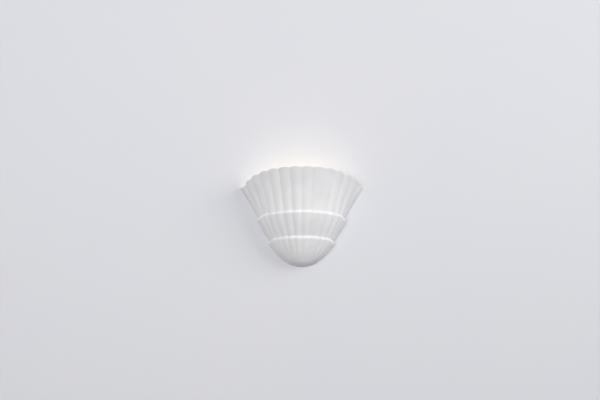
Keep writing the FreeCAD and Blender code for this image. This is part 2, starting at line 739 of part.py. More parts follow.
NUT_TOP = -ARM_THICKNESS - WASHER_HEIGHT
STRIP_LEVEL = TERMINAL_LEVEL + TERMINAL_HEIGHT
DISC_LEVEL = STRIP_LEVEL + CONTACT_SHEET
FLOOR_LEVEL = DISC_LEVEL + INSERT_DISC
SLEEVE_LEVEL = FLOOR_LEVEL + HOLDER_FLOOR + SLEEVE_LIFT
CONTACT_TOP = FLOOR_LEVEL + HOLDER_FLOOR + CONTACT_RISE
HOLDER_BORE = HOLDER_RADIUS - HOLDER_WALL
SLEEVE_OUTER = SLEEVE_BORE + SLEEVE_WALL
SPIGOT_BORE = (HOLDER_BORE + SLEEVE_OUTER) / 2
TERMINAL_X = SPIGOT_BORE - TERMINAL_GAP - TERMINAL_HALF_WIDTH


def nipple():
    return tube(above_arm(-NIPPLE_BELOW), Z, NIPPLE_RADIUS - SCREW_CLEARANCE, NIPPLE_BORE,
                NIPPLE_BELOW + NIPPLE_ABOVE)


def nipple_nut():
    nut = hexagon(above_arm(NUT_TOP - NUT_HEIGHT), Z, NUT_FLATS, NUT_HEIGHT)
    return nut.cut(rod(above_arm(NUT_TOP - NUT_HEIGHT), Z, NIPPLE_RADIUS, NUT_HEIGHT))


def toothed_washer(start, direction, bore, outer, height, teeth):
    """Ring with notches round its rim."""
    ring = tube(start, direction, outer, bore, height)
    across = X if abs(direction.x) < 0.5 else Y
    other = direction.cross(across)
    notches = []
    for i in range(teeth):
        turn = 2 * math.pi * i / teeth
        rim = start + across * (outer * math.cos(turn)) + other * (outer * math.sin(turn))
        notches.append(rod(rim, direction, outer * TOOTH_SHARE, height))
    return ring.cut(notches)


def nipple_washer():
    return toothed_washer(above_arm(NUT_TOP), Z, NIPPLE_RADIUS + FIT, WASHER_RADIUS, WASHER_HEIGHT, 10)


def holder_cap():
    cup = rod(above_arm(0), Z, HOLDER_RADIUS, HOLDER_CAP_HEIGHT)
    rim = [e for e in cup.Edges if e.BoundBox.ZLength < 0.01 and abs(e.BoundBox.ZMin - ARM_TOP) < 0.01]
    cup = cup.makeFillet(HOLDER_CAP_ROUND, rim)
    hollow = rod(above_arm(HOLDER_BASE), Z, HOLDER_BORE, HOLDER_CAP_HEIGHT)
    return cup.cut([hollow, rod(above_arm(0), Z, NIPPLE_RADIUS, HOLDER_BASE)])


def contact_slot(low, high):
    """Slot for the strip that rises to the sleeve."""
    half = RISER_WIDTH / 2 + FIT
    slot = box(SLEEVE_BORE - FIT, SLEEVE_OUTER + FIT, -half, half, low, high)
    slot.translate(above_arm(0))
    return slot


def rivet_hole(low, high):
    return rod(above_arm(low) + X * RIVET_X, Z, RIVET_RADIUS + FIT, high - low)


def holder_body():
    skirt = HOLDER_CAP_HEIGHT - SPIGOT_LENGTH
    body = joined([rod(above_arm(HOLDER_CAP_HEIGHT), Z, HOLDER_RADIUS, HOLDER_HEIGHT - HOLDER_CAP_HEIGHT),
                   rod(above_arm(skirt), Z, HOLDER_BORE - FIT, SPIGOT_LENGTH)])
    top = ARM_TOP + HOLDER_HEIGHT
    body = body.makeFillet(HOLDER_RIM_ROUND, [e for e in body.Edges if e.BoundBox.ZMin > top - 0.01])
    floor = FLOOR_LEVEL + HOLDER_FLOOR
    return body.cut([rod(above_arm(skirt), Z, SPIGOT_BORE, FLOOR_LEVEL - skirt),
                     rod(above_arm(floor), Z, SLEEVE_OUTER + FIT, HOLDER_HEIGHT - floor),
                     contact_slot(FLOOR_LEVEL, SLEEVE_LEVEL), rivet_hole(FLOOR_LEVEL, floor)])


def holder_disc():
    """Porcelain disc that carries the contacts."""
    disc = rod(above_arm(DISC_LEVEL), Z, SPIGOT_BORE - FIT, INSERT_DISC)
    return disc.cut([contact_slot(DISC_LEVEL, FLOOR_LEVEL), rivet_hole(DISC_LEVEL, FLOOR_LEVEL)])


def screw_sleeve():
    return tube(above_arm(SLEEVE_LEVEL), Z, SLEEVE_OUTER, SLEEVE_BORE, SLEEVE_LENGTH)


def sleeve_contact():
    """Strip from a terminal up to the lower edge of the sleeve."""
    wide, narrow = CONTACT_WIDTH / 2, RISER_WIDTH / 2
    foot = box(TERMINAL_X - TERMINAL_HALF_WIDTH, SLEEVE_OUTER, -wide, wide, STRIP_LEVEL, DISC_LEVEL)
    riser = box(SLEEVE_BORE, SLEEVE_OUTER, -narrow, narrow, STRIP_LEVEL, SLEEVE_LEVEL)
    strip = joined([foot, riser])
    strip.translate(above_arm(0))
    return strip


def centre_contact():
    """Strip under the disc, rivet through it and the leaf that meets the lamp."""
    half = CONTACT_WIDTH / 2
    foot = box(-TERMINAL_X - TERMINAL_HALF_WIDTH, RIVET_X + RIVET_RADIUS, -half, half,
               STRIP_LEVEL, DISC_LEVEL)
    floor = FLOOR_LEVEL + HOLDER_FLOOR
    left, bend = RIVET_X - RIVET_RADIUS, RIVET_X + RIVET_RADIUS
    slant = CONTACT_SHEET / 2
    side = [(left, floor), (bend, floor), (LEAF_START + slant, CONTACT_TOP - CONTACT_SHEET),
            (DOME_HALF, CONTACT_TOP - CONTACT_SHEET), (DOME_HALF, CONTACT_TOP), (LEAF_START, CONTACT_TOP),
            (bend - slant, floor + CONTACT_SHEET), (left, floor + CONTACT_SHEET)]
    points = [V(x, -half, z) for x, z in side]
    leaf = Part.Face(Part.makePolygon(points + points[:1])).extrude(Y * CONTACT_WIDTH)
    rivet = rod(V(RIVET_X, 0, STRIP_LEVEL), Z, RIVET_RADIUS, floor + CONTACT_SHEET - STRIP_LEVEL)
    contact = joined([foot, rivet, leaf])
    contact.translate(above_arm(0))
    return contact


def terminal_screw_seats():
    z = TERMINAL_LEVEL + TERMINAL_SCREW
    return [above_arm(z) + V(side * TERMINAL_X, -TERMINAL_HALF_DEPTH, 0) for side in (-1, 1)]


def holder_terminals():
    blocks = []
    for side, seat in zip((-1, 1), terminal_screw_seats()):
        x = side * TERMINAL_X
        block = box(x - TERMINAL_HALF_WIDTH, x + TERMINAL_HALF_WIDTH, -TERMINAL_HALF_DEPTH,
                    TERMINAL_HALF_DEPTH, TERMINAL_LEVEL, STRIP_LEVEL)
        block.translate(above_arm(0))
        bore = rod(above_arm(TERMINAL_LEVEL) + X * x, Z, WIRE_RADIUS + FIT, TERMINAL_HEIGHT - TERMINAL_ROOF)
        blocks.append(block.cut([bore, rod(seat, Y, M2, TERMINAL_HALF_DEPTH)]))
    return blocks


def slotted_screw(seat, radius, head_radius, head_height, length):
    """Small screw with its head on the room side of seat and its tip towards the wall."""
    shank = rod(seat, Y, radius - SCREW_CLEARANCE, length)
    top = seat + ROOM * head_height
    slot = box(top.x - head_radius, top.x + head_radius, top.y, top.y + head_height / 2,
               top.z - CONTACT_SHEET / 2, top.z + CONTACT_SHEET / 2)
    return joined([shank, rod(top, Y, head_radius, head_height)]).cut(slot)


def holder_screws():
    length = TERMINAL_HALF_DEPTH - WIRE_RADIUS - SCREW_CLEARANCE
    return [slotted_screw(seat, M2, TERMINAL_HEAD, TERMINAL_HEAD_HEIGHT, length)
            for seat in terminal_screw_seats()]


# ---------------------------------------------------------------- lamp
LAMP_BOTTOM = CONTACT_TOP + CONTACT_GAP
GLASS_CENTRE = LAMP_LENGTH - GLOBE_RADIUS
CAP_TOP = CAP_BOTTOM + CAP_LENGTH
CAP_CREST = SLEEVE_BORE - THREAD_CLEARANCE
CAP_ROOT = CAP_CREST - THREAD_DEPTH
CAP_INNER = CAP_ROOT - CAP_WALL
STEM_TOP = GLASS_BOTTOM + STEM_HEIGHT
COLLAR_RADIUS = NECK_RADIUS + COLLAR_RIM


def on_circle(radius, centre_z, degrees):
    """Point (radius, z) on a circle whose centre is on the lamp axis; 0 degrees is level."""
    turn = math.radians(degrees)
    return radius * math.cos(turn), centre_z + radius * math.sin(turn)


DOME_TOP = on_circle(DOME_RADIUS, DOME_RADIUS, -math.degrees(math.acos(DOME_HALF / DOME_RADIUS)))[1]


def lamp_contact():
    half_way = (math.degrees(math.acos(DOME_HALF / DOME_RADIUS)) + 90) / 2
    middle = on_circle(DOME_RADIUS, DOME_RADIUS, -half_way)
    return spun([(0, 0), middle + (DOME_HALF, DOME_TOP), (0, DOME_TOP)], above_arm(LAMP_BOTTOM))


def lamp_insulator():
    edge = CAP_INNER - SCREW_CLEARANCE
    return spun([(0, DOME_TOP), (DOME_HALF, DOME_TOP), (edge, CAP_BOTTOM), (edge, INSULATOR_TOP),
                 (0, INSULATOR_TOP)], above_arm(LAMP_BOTTOM))


def lamp_cap():
    """Thin screw cap: a rounded crest in each pitch of its thread."""
    outside = [(CAP_INNER, CAP_BOTTOM), (CAP_ROOT, CAP_BOTTOM)]
    crest = CAP_PITCH * CREST_SHARE
    z = CAP_BOTTOM + CAP_THREAD_START
    while z + CAP_PITCH < CAP_TOP - CAP_THREAD_START:
        outside += [(CAP_ROOT, z), (CAP_CREST, z + crest / 2, CAP_ROOT, z + crest)]
        z += CAP_PITCH
    outside += [(CAP_ROOT, CAP_TOP), (CAP_INNER, CAP_TOP)]
    return spun(outside, above_arm(LAMP_BOTTOM))


def lamp_collar():
    spigot = CAP_INNER - SCREW_CLEARANCE
    flare = (COLLAR_FOOT + 0.8 * (COLLAR_RADIUS - COLLAR_FOOT), CAP_TOP + 0.4 * COLLAR_FLARE)
    return spun([(COLLAR_BORE, CAP_TOP - COLLAR_SPIGOT), (spigot, CAP_TOP - COLLAR_SPIGOT),
                 (spigot, CAP_TOP), (COLLAR_FOOT, CAP_TOP), flare + (COLLAR_RADIUS, CAP_TOP + COLLAR_FLARE),
                 (COLLAR_RADIUS, GLASS_BOTTOM), (COLLAR_BORE, GLASS_BOTTOM)], above_arm(LAMP_BOTTOM))


def glass_side(radius, neck):
    """Outline of the globe from its neck up to the top, in two arcs."""
    edge = on_circle(radius, GLASS_CENTRE, NECK_ANGLE)
    waist = (neck + (edge[0] - neck) * 0.3, (edge[1] + GLASS_BOTTOM) / 2)
    half_way = on_circle(radius, GLASS_CENTRE, (NECK_ANGLE + 90) / 2)
    return [(neck, GLASS_BOTTOM), waist + edge, half_way + (0, GLASS_CENTRE + radius)]


def lamp_glass():
    """Globe on a short neck, open at the bottom where it sits on the collar."""
    outer = glass_side(GLOBE_RADIUS, NECK_RADIUS)
    foot, waist_edge, half_way_top = glass_side(GLOBE_RADIUS - GLASS_WALL, NECK_RADIUS - GLASS_WALL)
    inner = [half_way_top[2:], half_way_top[:2] + waist_edge[2:], waist_edge[:2] + foot]
    return spun(outer + inner, above_arm(LAMP_BOTTOM))


def lamp_stem():
    flare = NECK_RADIUS - GLASS_WALL - FIT
    curve = (STEM_RADIUS + 0.15 * (flare - STEM_RADIUS), GLASS_BOTTOM + 0.35 * STEM_FOOT)
    return spun([(0, GLASS_BOTTOM), (flare, GLASS_BOTTOM), (flare, GLASS_BOTTOM + GLASS_WALL),
                 curve + (STEM_RADIUS, GLASS_BOTTOM + STEM_FOOT), (STEM_RADIUS, STEM_TOP), (0, STEM_TOP)],
                above_arm(LAMP_BOTTOM))


def filament_ways():
    turns = [math.radians(360 * (i + 0.5) / FILAMENTS) for i in range(FILAMENTS)]
    return [V(math.cos(a), math.sin(a), 0) for a in turns]


def lamp_filaments():
    foot = above_arm(LAMP_BOTTOM + STEM_TOP)
    return [rod(foot + way * FILAMENT_RING, Z, FILAMENT_RADIUS, FILAMENT_LENGTH) for way in filament_ways()]


def lamp_leads():
    """Spokes from the stem to the feet of the filaments and the ring that joins their tops."""
    hub = above_arm(LAMP_BOTTOM + STEM_TOP - LEAD_RADIUS)
    start = STEM_RADIUS + SCREW_CLEARANCE
    spokes = [rod(hub + way * start, way, LEAD_RADIUS, FILAMENT_RING - start) for way in filament_ways()]
    top = above_arm(LAMP_BOTTOM + STEM_TOP + FILAMENT_LENGTH + LEAD_RADIUS)
    return spokes + [Part.makeTorus(FILAMENT_RING, LEAD_RADIUS, top, Z)]


# ---------------------------------------------------------------- terminal block, earth and wires
POLE_Y = PLATE_FACE - BLOCK_DEPTH / 2
BLOCK_FACE = PLATE_FACE - BLOCK_DEPTH
BLOCK_RIGHT = BLOCK_LEFT + BLOCK_WIDTH


def clamp_screw_places():
    columns = (BLOCK_LEFT + CLAMP_SCREW_INSET, BLOCK_RIGHT - CLAMP_SCREW_INSET)
    return [(x, z) for z in POLE_LEVELS for x in columns]


def terminal_block():
    body = box(BLOCK_LEFT, BLOCK_RIGHT, BLOCK_FACE, PLATE_FACE, BLOCK_TOP - POLES * POLE_PITCH, BLOCK_TOP)
    body = body.makeFillet(BLOCK_ROUND, [e for e in body.Edges if e.BoundBox.YMin < BLOCK_FACE + 0.01])
    cuts = [rod(V(BLOCK_LEFT, POLE_Y, z), X, TUNNEL_RADIUS, BLOCK_WIDTH) for z in POLE_LEVELS]
    cuts += [rod(V(x, BLOCK_FACE, z), Y, CLAMP_SCREW + CLAMP_HEAD_RIM + FIT, BLOCK_DEPTH / 2)
             for x, z in clamp_screw_places()]
    fixing = block_fixing(BLOCK_FACE)
    cuts += [rod(fixing, Y, M3 + FIT, BLOCK_DEPTH), rod(fixing, Y, M3 * HEAD_RATIO + FIT, FIXING_SINK)]
    for z in POLE_LEVELS[:-1]:
        low, high = z - POLE_PITCH / 2 - BLOCK_CUT / 2, z - POLE_PITCH / 2 + BLOCK_CUT / 2
        cuts.append(box(BLOCK_LEFT, BLOCK_LEFT + BLOCK_NECK, BLOCK_FACE, PLATE_FACE, low, high))
        cuts.append(box(BLOCK_RIGHT - BLOCK_NECK, BLOCK_RIGHT, BLOCK_FACE, PLATE_FACE, low, high))
    return body.cut(cuts)


def terminal_tubes():
    tubes = []
    for z in POLE_LEVELS:
        barrel = tube(V(BLOCK_LEFT + TUBE_SETBACK, POLE_Y, z), X, TUNNEL_RADIUS - SCREW_CLEARANCE,
                      TUBE_BORE, BLOCK_WIDTH - 2 * TUBE_SETBACK)
        taps = [rod(V(x, POLE_Y - TUNNEL_RADIUS, z), Y, CLAMP_SCREW, TUNNEL_RADIUS)
                for x, level_z in clamp_screw_places() if level_z == z]
        tubes.append(barrel.cut(taps))
    return tubes


def clamp_screws():
    """Slotted screws that press on the wires in the terminal tubes."""
    seat_y = BLOCK_FACE + 2 * CLAMP_HEAD_DEPTH
    length = POLE_Y - WIRE_RADIUS - SCREW_CLEARANCE - seat_y
    head = CLAMP_SCREW + CLAMP_HEAD_RIM
    return [slotted_screw(V(x, seat_y, z), CLAMP_SCREW, head, CLAMP_HEAD_DEPTH, length)
            for x, z in clamp_screw_places()]


def block_screw():
    length = BLOCK_DEPTH - FIXING_SINK + PLATE_THICKNESS
    return pan_head_screw(block_fixing(BLOCK_FACE + FIXING_SINK), Y, M3, length)


BARREL_Y = PLATE_FACE - EARTH_WASHER - BARREL_RADIUS


def on_stud(distance):
    return V(STUD_X, PLATE_FACE - distance, STUD_Z)


def earth_stud():
    return rod(V(STUD_X, 0, STUD_Z), ROOM, M4 - SCREW_CLEARANCE, STUD_LENGTH)


def earth_washer():
    return toothed_washer(on_stud(0), ROOM, M4 + FIT, EARTH_WASHER_RADIUS, EARTH_WASHER, 8)


def earth_lug():
    """Ring terminal with a crimp barrel that points to the right."""
    ring = rod(on_stud(EARTH_WASHER), ROOM, LUG_RING, LUG_SHEET)
    back = PLATE_FACE - EARTH_WASHER
    tongue = box(STUD_X, STUD_X + BARREL_START, back - LUG_SHEET, back,
                 STUD_Z - LUG_NECK / 2, STUD_Z + LUG_NECK / 2)
    barrel = rod(V(STUD_X + BARREL_START, BARREL_Y, STUD_Z), X, BARREL_RADIUS, BARREL_LENGTH)
    bore = rod(V(STUD_X + BARREL_START + BARREL_END, BARREL_Y, STUD_Z), X, WIRE_RADIUS + SCREW_CLEARANCE,
               BARREL_LENGTH - BARREL_END)
    return joined([ring, tongue, barrel]).cut([rod(on_stud(EARTH_WASHER), ROOM, M4 + FIT, LUG_SHEET), bore])


def earth_nut():
    start = on_stud(EARTH_WASHER + LUG_SHEET)
    return hexagon(start, ROOM, EARTH_NUT_FLATS, EARTH_NUT).cut(rod(start, ROOM, M4, EARTH_NUT))


def sleeving():
    """Woven glass sleeve round both lamp wires where they pass through the nipple."""
    radius = NIPPLE_BORE - SLEEVING_CLEARANCE
    below, above = NIPPLE_BELOW + SLEEVING_BELOW, NIPPLE_ABOVE + SLEEVING_ABOVE
    return tube(above_arm(-below), Z, radius, radius - SLEEVING_WALL, below + above)


def from_block(z):
    """First two corners of a wire that leaves the terminal block to the left."""
    return [V(BLOCK_LEFT + WIRE_IN_BLOCK, POLE_Y, z), V(BLOCK_LEFT - 4, POLE_Y, z)]


def lamp_wire(side, z, route):
    """Wire from a pole of the terminal block up through the nipple to a lampholder terminal."""
    near, far = X * (side * WIRE_PITCH / 2), X * (side * TERMINAL_X)
    rise = [above_arm(-NIPPLE_BELOW - SLEEVING_BELOW - 6) + near,
            above_arm(NIPPLE_ABOVE + SLEEVING_ABOVE + 0.5) + near,
            above_arm(TERMINAL_LEVEL - 3) + far,
            above_arm(STRIP_LEVEL - TERMINAL_ROOF - 0.5) + far]
    return wire_through(from_block(z) + [V(*p) for p in route] + rise, WIRE_RADIUS)


def line_wire():
    return lamp_wire(1, POLE_LEVELS[0], [(18, -12, -29), (9, -24, -40)])


def neutral_wire():
    return lamp_wire(-1, POLE_LEVELS[1], [(17, -12, -38), (6, -22.5, -44.5)])


def earth_wire():
    barrel = STUD_X + BARREL_START
    route = [(12, -10.5, -44), (-6, -10.5, -42), (barrel + BARREL_LENGTH + 4, BARREL_Y, STUD_Z),
             (barrel + BARREL_END + 0.2, BARREL_Y, STUD_Z)]
    return wire_through(from_block(POLE_LEVELS[2]) + [V(*p) for p in route], WIRE_RADIUS)


# ---------------------------------------------------------------- files
PARTS = (shell, hanging_strap, strap_inserts, strap_screws, wall_pads,
         wall_plate, cable_bush, lamp_arm, arm_screws, nipple, nipple_nut, nipple_washer, sleeving,
         holder_cap, holder_body, holder_disc, screw_sleeve, sleeve_contact, centre_contact,
         holder_terminals, holder_screws,
         lamp_contact, lamp_insulator, lamp_cap, lamp_collar, lamp_glass, lamp_stem, lamp_filaments,
         lamp_leads,
         terminal_block, terminal_tubes, clamp_screws, block_screw,
         earth_stud, earth_washer, earth_lug, earth_nut, line_wire, neutral_wire, earth_wire)


def main():
    os.makedirs("parts", exist_ok=True)
    for make in PARTS:
        shape = make()
        if isinstance(shape, list):
            shape = Part.makeCompound(shape)
        if not shape.isValid():
            print("not valid:", make.__name__)
        shape.exportStep("parts/" + make.__name__ + ".step")
        print(make.__name__, len(shape.Solids), "solids, %.0f mm3" % shape.Volume)


if __name__ == "__main__":
    main()
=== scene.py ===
"""Shell wall sconce: cast plaster shell, felt pads, woven sleeve, finishes, wall and studio light."""
import math
import bmesh
import bpy
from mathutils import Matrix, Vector, noise


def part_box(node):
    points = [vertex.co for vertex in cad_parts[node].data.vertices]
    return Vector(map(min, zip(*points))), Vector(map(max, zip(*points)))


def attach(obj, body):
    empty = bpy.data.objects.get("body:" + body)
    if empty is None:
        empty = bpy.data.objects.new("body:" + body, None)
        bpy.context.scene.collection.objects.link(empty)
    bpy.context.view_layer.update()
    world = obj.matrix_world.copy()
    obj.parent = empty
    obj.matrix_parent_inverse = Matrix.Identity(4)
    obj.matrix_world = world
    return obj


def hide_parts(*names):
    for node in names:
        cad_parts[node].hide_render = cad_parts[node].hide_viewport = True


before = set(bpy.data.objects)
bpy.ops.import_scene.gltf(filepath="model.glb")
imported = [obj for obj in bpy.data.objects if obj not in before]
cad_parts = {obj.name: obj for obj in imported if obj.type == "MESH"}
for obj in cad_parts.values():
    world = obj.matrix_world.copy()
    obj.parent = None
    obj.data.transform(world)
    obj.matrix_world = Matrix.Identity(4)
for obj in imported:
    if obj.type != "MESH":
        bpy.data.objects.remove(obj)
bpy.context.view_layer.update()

MM = 0.001

# ---------------------------------------------------------------- the camera's place
CAMERA_DISTANCE = 2.88
CAMERA_LEVEL = 0.0555        # the camera looks level, from just above the middle of the shell
CAMERA_SIDE = -0.0037
LENS = 70.0

# ---------------------------------------------------------------- sizes of the cast shell, mm
SHELL_LOW, SHELL_HIGH = (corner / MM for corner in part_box("shell"))
RIM_SIDE_HALF = SHELL_HIGH.x
TIP_LEVEL = SHELL_LOW.z
BACK_Y = SHELL_HIGH.y        # the back of the shell, a pad's thickness off the wall
BAND_WIDTH = 6.0             # bevelled band at the wall, seen from the front
BAND_DEPTH = 10.0
BAND_TURN = 0.3              # the lower, the sooner the band turns from below the face to beside it
FACE_Y = BACK_Y - BAND_DEPTH
SHELL_WALL = 8.0
RIBS = 13
ALPHA = math.radians(70.0)   # half the angle that a level section turns through
VALLEY_ROUND = 0.06          # of a rib's relief, how rounded the valleys are
RIB_POWER = 0.4              # the lower, the broader the crests
BOWL_RIB_RISE = 1.8          # the higher, the further above the tip the bowl's ribs start

# Heights are over the tip, depths are forward of the face's edge, and a relief is that of the ribs.
RIM_OVER_LOBES = 0.2         # the rim's line passes this far over its highest lobe
RIM_FRONT_HALF = 142.0
RIM_DEPTH = 102.0
RIM_SIDE_HEIGHT = 195.5
RIM_FRONT_HEIGHT = SHELL_HIGH.z - TIP_LEVEL + RIM_OVER_LOBES
RIM_ARCH_POWER = 2.35        # the higher, the flatter the middle of the arch
RIM_SCALLOP = 3.5            # depth of the notches between the lobes
RIM_RELIEF = 3.8
UPPER_LIP = dict(side_half=110.3, front_half=112.7, depth=74.0, side_height=115.0,
                 front_height=135.4, relief=2.9)
LOWER_LIP = dict(side_half=82.1, front_half=85.0, depth=55.0, side_height=57.0,
                 front_height=73.5, relief=2.2)
LIP_SETBACK = 3.5            # how far behind a lip the next tier starts
LIP_ROUND = 4.5              # and how far above it
MIDDLE_CROWN = 1.2           # how far the middle tier stands out halfway up
TOP_SWEEP_FRONT = 4.0        # how far the top tier is hollowed halfway up
TOP_SWEEP_SIDE = 1.2
BOWL_POWER = 0.46            # the lower, the blunter the tip
CORNER_BLEND = 6             # the higher, the nearer the side edges a line turns to meet the band

EDGE_ROUND = 1.1             # hand-rubbed edges of the casting
WAVINESS = 0.07              # how far the rubbed face strays from true
WAVE_LENGTH = 26.0

# ---------------------------------------------------------------- mesh of the cast shell
COLUMNS_PER_RIB = 16
BOWL_ROWS, LIP_ROWS, MIDDLE_ROWS, TOP_ROWS = 34, 6, 26, 44
# Shares of the way up a tier, or across the band or the back, where points are worked out.
BOWL_PLACES = (0.25, 0.35, 0.45, 0.55, 0.65, 0.75, 0.85, 0.93)
MIDDLE_PLACES = (0.1, 0.3, 0.5, 0.7, 0.9)
TOP_PLACES = (0.1, 0.2, 0.3, 0.4, 0.5, 0.6, 0.7, 0.8, 0.9)
BAND_PLACES = (0.3, 0.6)
BACK_PLACES = (0, 0.05, 0.1, 0.2, 0.3, 0.5, 0.7)
INSIDE_CROWDING = 1.35       # the higher, the closer the rows of the inside lie near the tip
OFF_THE_BOTTOM = 1.0         # inside points less than this above the lowest one are left out
LEAST_RISE = 1e-6            # taken for the height between two inside points at one level
SAME_POINT = 0.02            # points this close become one
LEAST_EDGE = 0.005           # a shorter edge is taken out


def srgb(code):
    """Linear colour of an sRGB hex value."""
    parts = [int(code[i:i + 2], 16) / 255 for i in (1, 3, 5)]
    return tuple(p / 12.92 if p <= 0.04045 else ((p + 0.055) / 1.055) ** 2.4 for p in parts) + (1.0,)


# ---------------------------------------------------------------- form of the cast shell
def front_share(s):
    """1 at the middle of the front and 0 at the side edges; s runs from -1 to 1."""
    return (math.cos(ALPHA * s) - math.cos(ALPHA)) / (1 - math.cos(ALPHA))


def outward(s):
    return Vector((math.sin(ALPHA * s), -math.cos(ALPHA * s), 0))


def rib(s):
    """Near 0 in a valley and 1 on the crest of a rib."""
    wave = math.sin(math.pi * RIBS * s / 2) ** 2
    return ((wave + VALLEY_ROUND ** 2) / (1 + VALLEY_ROUND ** 2)) ** RIB_POWER


def band_step(height):
    """From the fluted face's edge to the wall, in the front view, at this height over the tip."""
    share = (height - BAND_WIDTH) / (RIM_SIDE_HEIGHT - BAND_WIDTH)
    turn = math.radians(90) * min(1.0, max(0.0, share)) ** BAND_TURN
    return Vector((math.sin(turn), 0, -math.cos(turn))) * BAND_WIDTH


def feature_line(side_half, front_half, depth, side_height, front_height, relief,
                 rise_share=front_share):
    """Curve round the shell, such as a lip, in the valleys of the ribs."""
    band = band_step(side_height)
    edge_half = side_half - band.x - relief * math.sin(ALPHA)
    edge_height = side_height - band.z

    def point(s):
        sweep = math.sin(ALPHA * s) / math.sin(ALPHA)
        x = front_half * sweep + (edge_half - front_half) * math.copysign(abs(s) ** CORNER_BLEND, s)
        z = TIP_LEVEL + edge_height + (front_height - edge_height) * rise_share(s)
        return Vector((x, FACE_Y - (depth - relief) * front_share(s), z))

    return point


TIP = Vector((0, FACE_Y, TIP_LEVEL + BAND_WIDTH))
rim_line = feature_line(RIM_SIDE_HALF, RIM_FRONT_HALF, RIM_DEPTH, RIM_SIDE_HEIGHT,
                        RIM_FRONT_HEIGHT, RIM_RELIEF, lambda s: 1 - abs(s) ** RIM_ARCH_POWER)
upper_lip = feature_line(**UPPER_LIP)
lower_lip = feature_line(**LOWER_LIP)


def above_lip(lip):
    """Crease in which the next tier starts, behind and above a lip."""
    return lambda s: lip(s) - outward(s) * LIP_SETBACK + Vector((0, 0, LIP_ROUND))


upper_crease = above_lip(upper_lip)
lower_crease = above_lip(lower_lip)


def bowl(end):
    """Surface from the tip to a feature line: t runs from 0 to 1."""
    def point(s, t):
        last = end(s)
        spread = t ** (2 * BOWL_POWER)
        y = FACE_Y + (last.y - FACE_Y) * spread
        return Vector((last.x * spread, y, TIP.z + (last.z - TIP.z) * t * t))
    return point


def taper(start, end, crown_front, crown_side):
    """Surface between two feature lines that stands out by its crown halfway up."""
    def point(s, t):
        crown = crown_side + (crown_front - crown_side) * front_share(s)
        return start(s) * (1 - t) + end(s) * t + outward(s) * (crown * 4 * t * (1 - t))
    return point


def fluted(surface, start_relief, end_relief, scallop=0.0, rise=1.0):
    """The same surface with its ribs, which start slowly if rise is over 1, and with end lobes."""
    def point(s, t):
        relief = (start_relief + (end_relief - start_relief) * t ** rise) * rib(s)
        lobe = Vector((0, 0, scallop * (1 - rib(s)) * t))
        return surface(s, t) + outward(s) * relief - lobe
    return point


def lip_round(below, above):
    """Rounded lip between the top of one tier and the foot of the next."""
    def point(s, t):
        a, b = below(s, 1), above(s, 0)
        corner = Vector((a.x, a.y, b.z))
        return a * (1 - t) ** 2 + corner * (2 * t * (1 - t)) + b * t * t
    return point


def inset(surface, depth):
    """The surface moved inwards by this depth."""
    step = 1e-3

    def point(s, t):
        s0, t0 = min(max(s, step - 1), 1 - step), min(max(t, step), 1 - step)
        along = surface(s0 + step, t0) - surface(s0 - step, t0)
        up = surface(s0, t0 + step) - surface(s0, t0 - step)
        return surface(s, t) - along.cross(up).normalized() * depth
    return point


# The plain surfaces carry the smooth inside, and the fluted ones are the face.
BOWL = bowl(lower_crease)
MIDDLE = taper(lower_crease, upper_crease, 0, 0)
TOP = taper(upper_crease, rim_line, -TOP_SWEEP_FRONT, -TOP_SWEEP_SIDE)
FLUTED_BOWL = fluted(bowl(lower_lip), 0, LOWER_LIP["relief"], rise=BOWL_RIB_RISE)
FLUTED_MIDDLE = fluted(taper(lower_crease, upper_lip, MIDDLE_CROWN, MIDDLE_CROWN),
                       LOWER_LIP["relief"], UPPER_LIP["relief"])
FLUTED_TOP = fluted(TOP, UPPER_LIP["relief"], RIM_RELIEF, RIM_SCALLOP)


def stations():
    """Surfaces and places on them, in rows from the tip up to the rim."""
    tiers = ((FLUTED_BOWL, BOWL_ROWS), (lip_round(FLUTED_BOWL, FLUTED_MIDDLE), LIP_ROWS),
             (FLUTED_MIDDLE, MIDDLE_ROWS), (lip_round(FLUTED_MIDDLE, FLUTED_TOP), LIP_ROWS),
             (FLUTED_TOP, TOP_ROWS))
    return [(FLUTED_BOWL, 0.0)] + [(face, i / count) for face, count in tiers
                                   for i in range(1, count + 1)]


def inside_at(level, stack):
    """Point of the smooth inside at this level, between the points of a stack that climbs."""
    for low, high in zip(stack, stack[1:]):
        if level <= high.z:
            break
    share = (level - low.z) / max(high.z - low.z, LEAST_RISE)
    return low + (high - low) * min(1.0, share)


def inside_stack(s):
    """Points up the inside at s, from the tip to the rim."""
    bottom = TIP + Vector((0, 0, SHELL_WALL))
    points = []
    for tier, places in ((BOWL, BOWL_PLACES), (MIDDLE, MIDDLE_PLACES), (TOP, TOP_PLACES)):
        points += [inset(tier, SHELL_WALL)(s, t) for t in places]
    points.append(rim_line(s) - outward(s) * SHELL_WALL - Vector((0, 0, RIM_SCALLOP)))
    return [bottom] + [point for point in points if point.z > bottom.z + OFF_THE_BOTTOM]


def between(first, last, share):
    return first + (last - first) * share


def rounded(before, corner, after, radius=EDGE_ROUND, steps=4):
    """Points round a corner, from one side of it to the other."""
    start = corner + (before - corner).normalized() * radius
    end = corner + (after - corner).normalized() * radius
    turn = []
    for i in range(steps + 1):
        t = i / steps
        turn.append(start * (1 - t) ** 2 + corner * (2 * t * (1 - t)) + end * t * t)
    return turn


def rubbed(point):
    """A point of the fluted face where the rubbing down has left it."""
    away = noise.noise(point / WAVE_LENGTH) * WAVINESS
    flat = Vector((point.x, point.y - FACE_Y, 0))
    return point + flat.normalized() * away if flat.length > 1 else point


def flute_places():
    """Even places across the shell, from one side edge to the other."""
    count = RIBS * COLUMNS_PER_RIB
    return [2 * i / count - 1 for i in range(count + 1)]


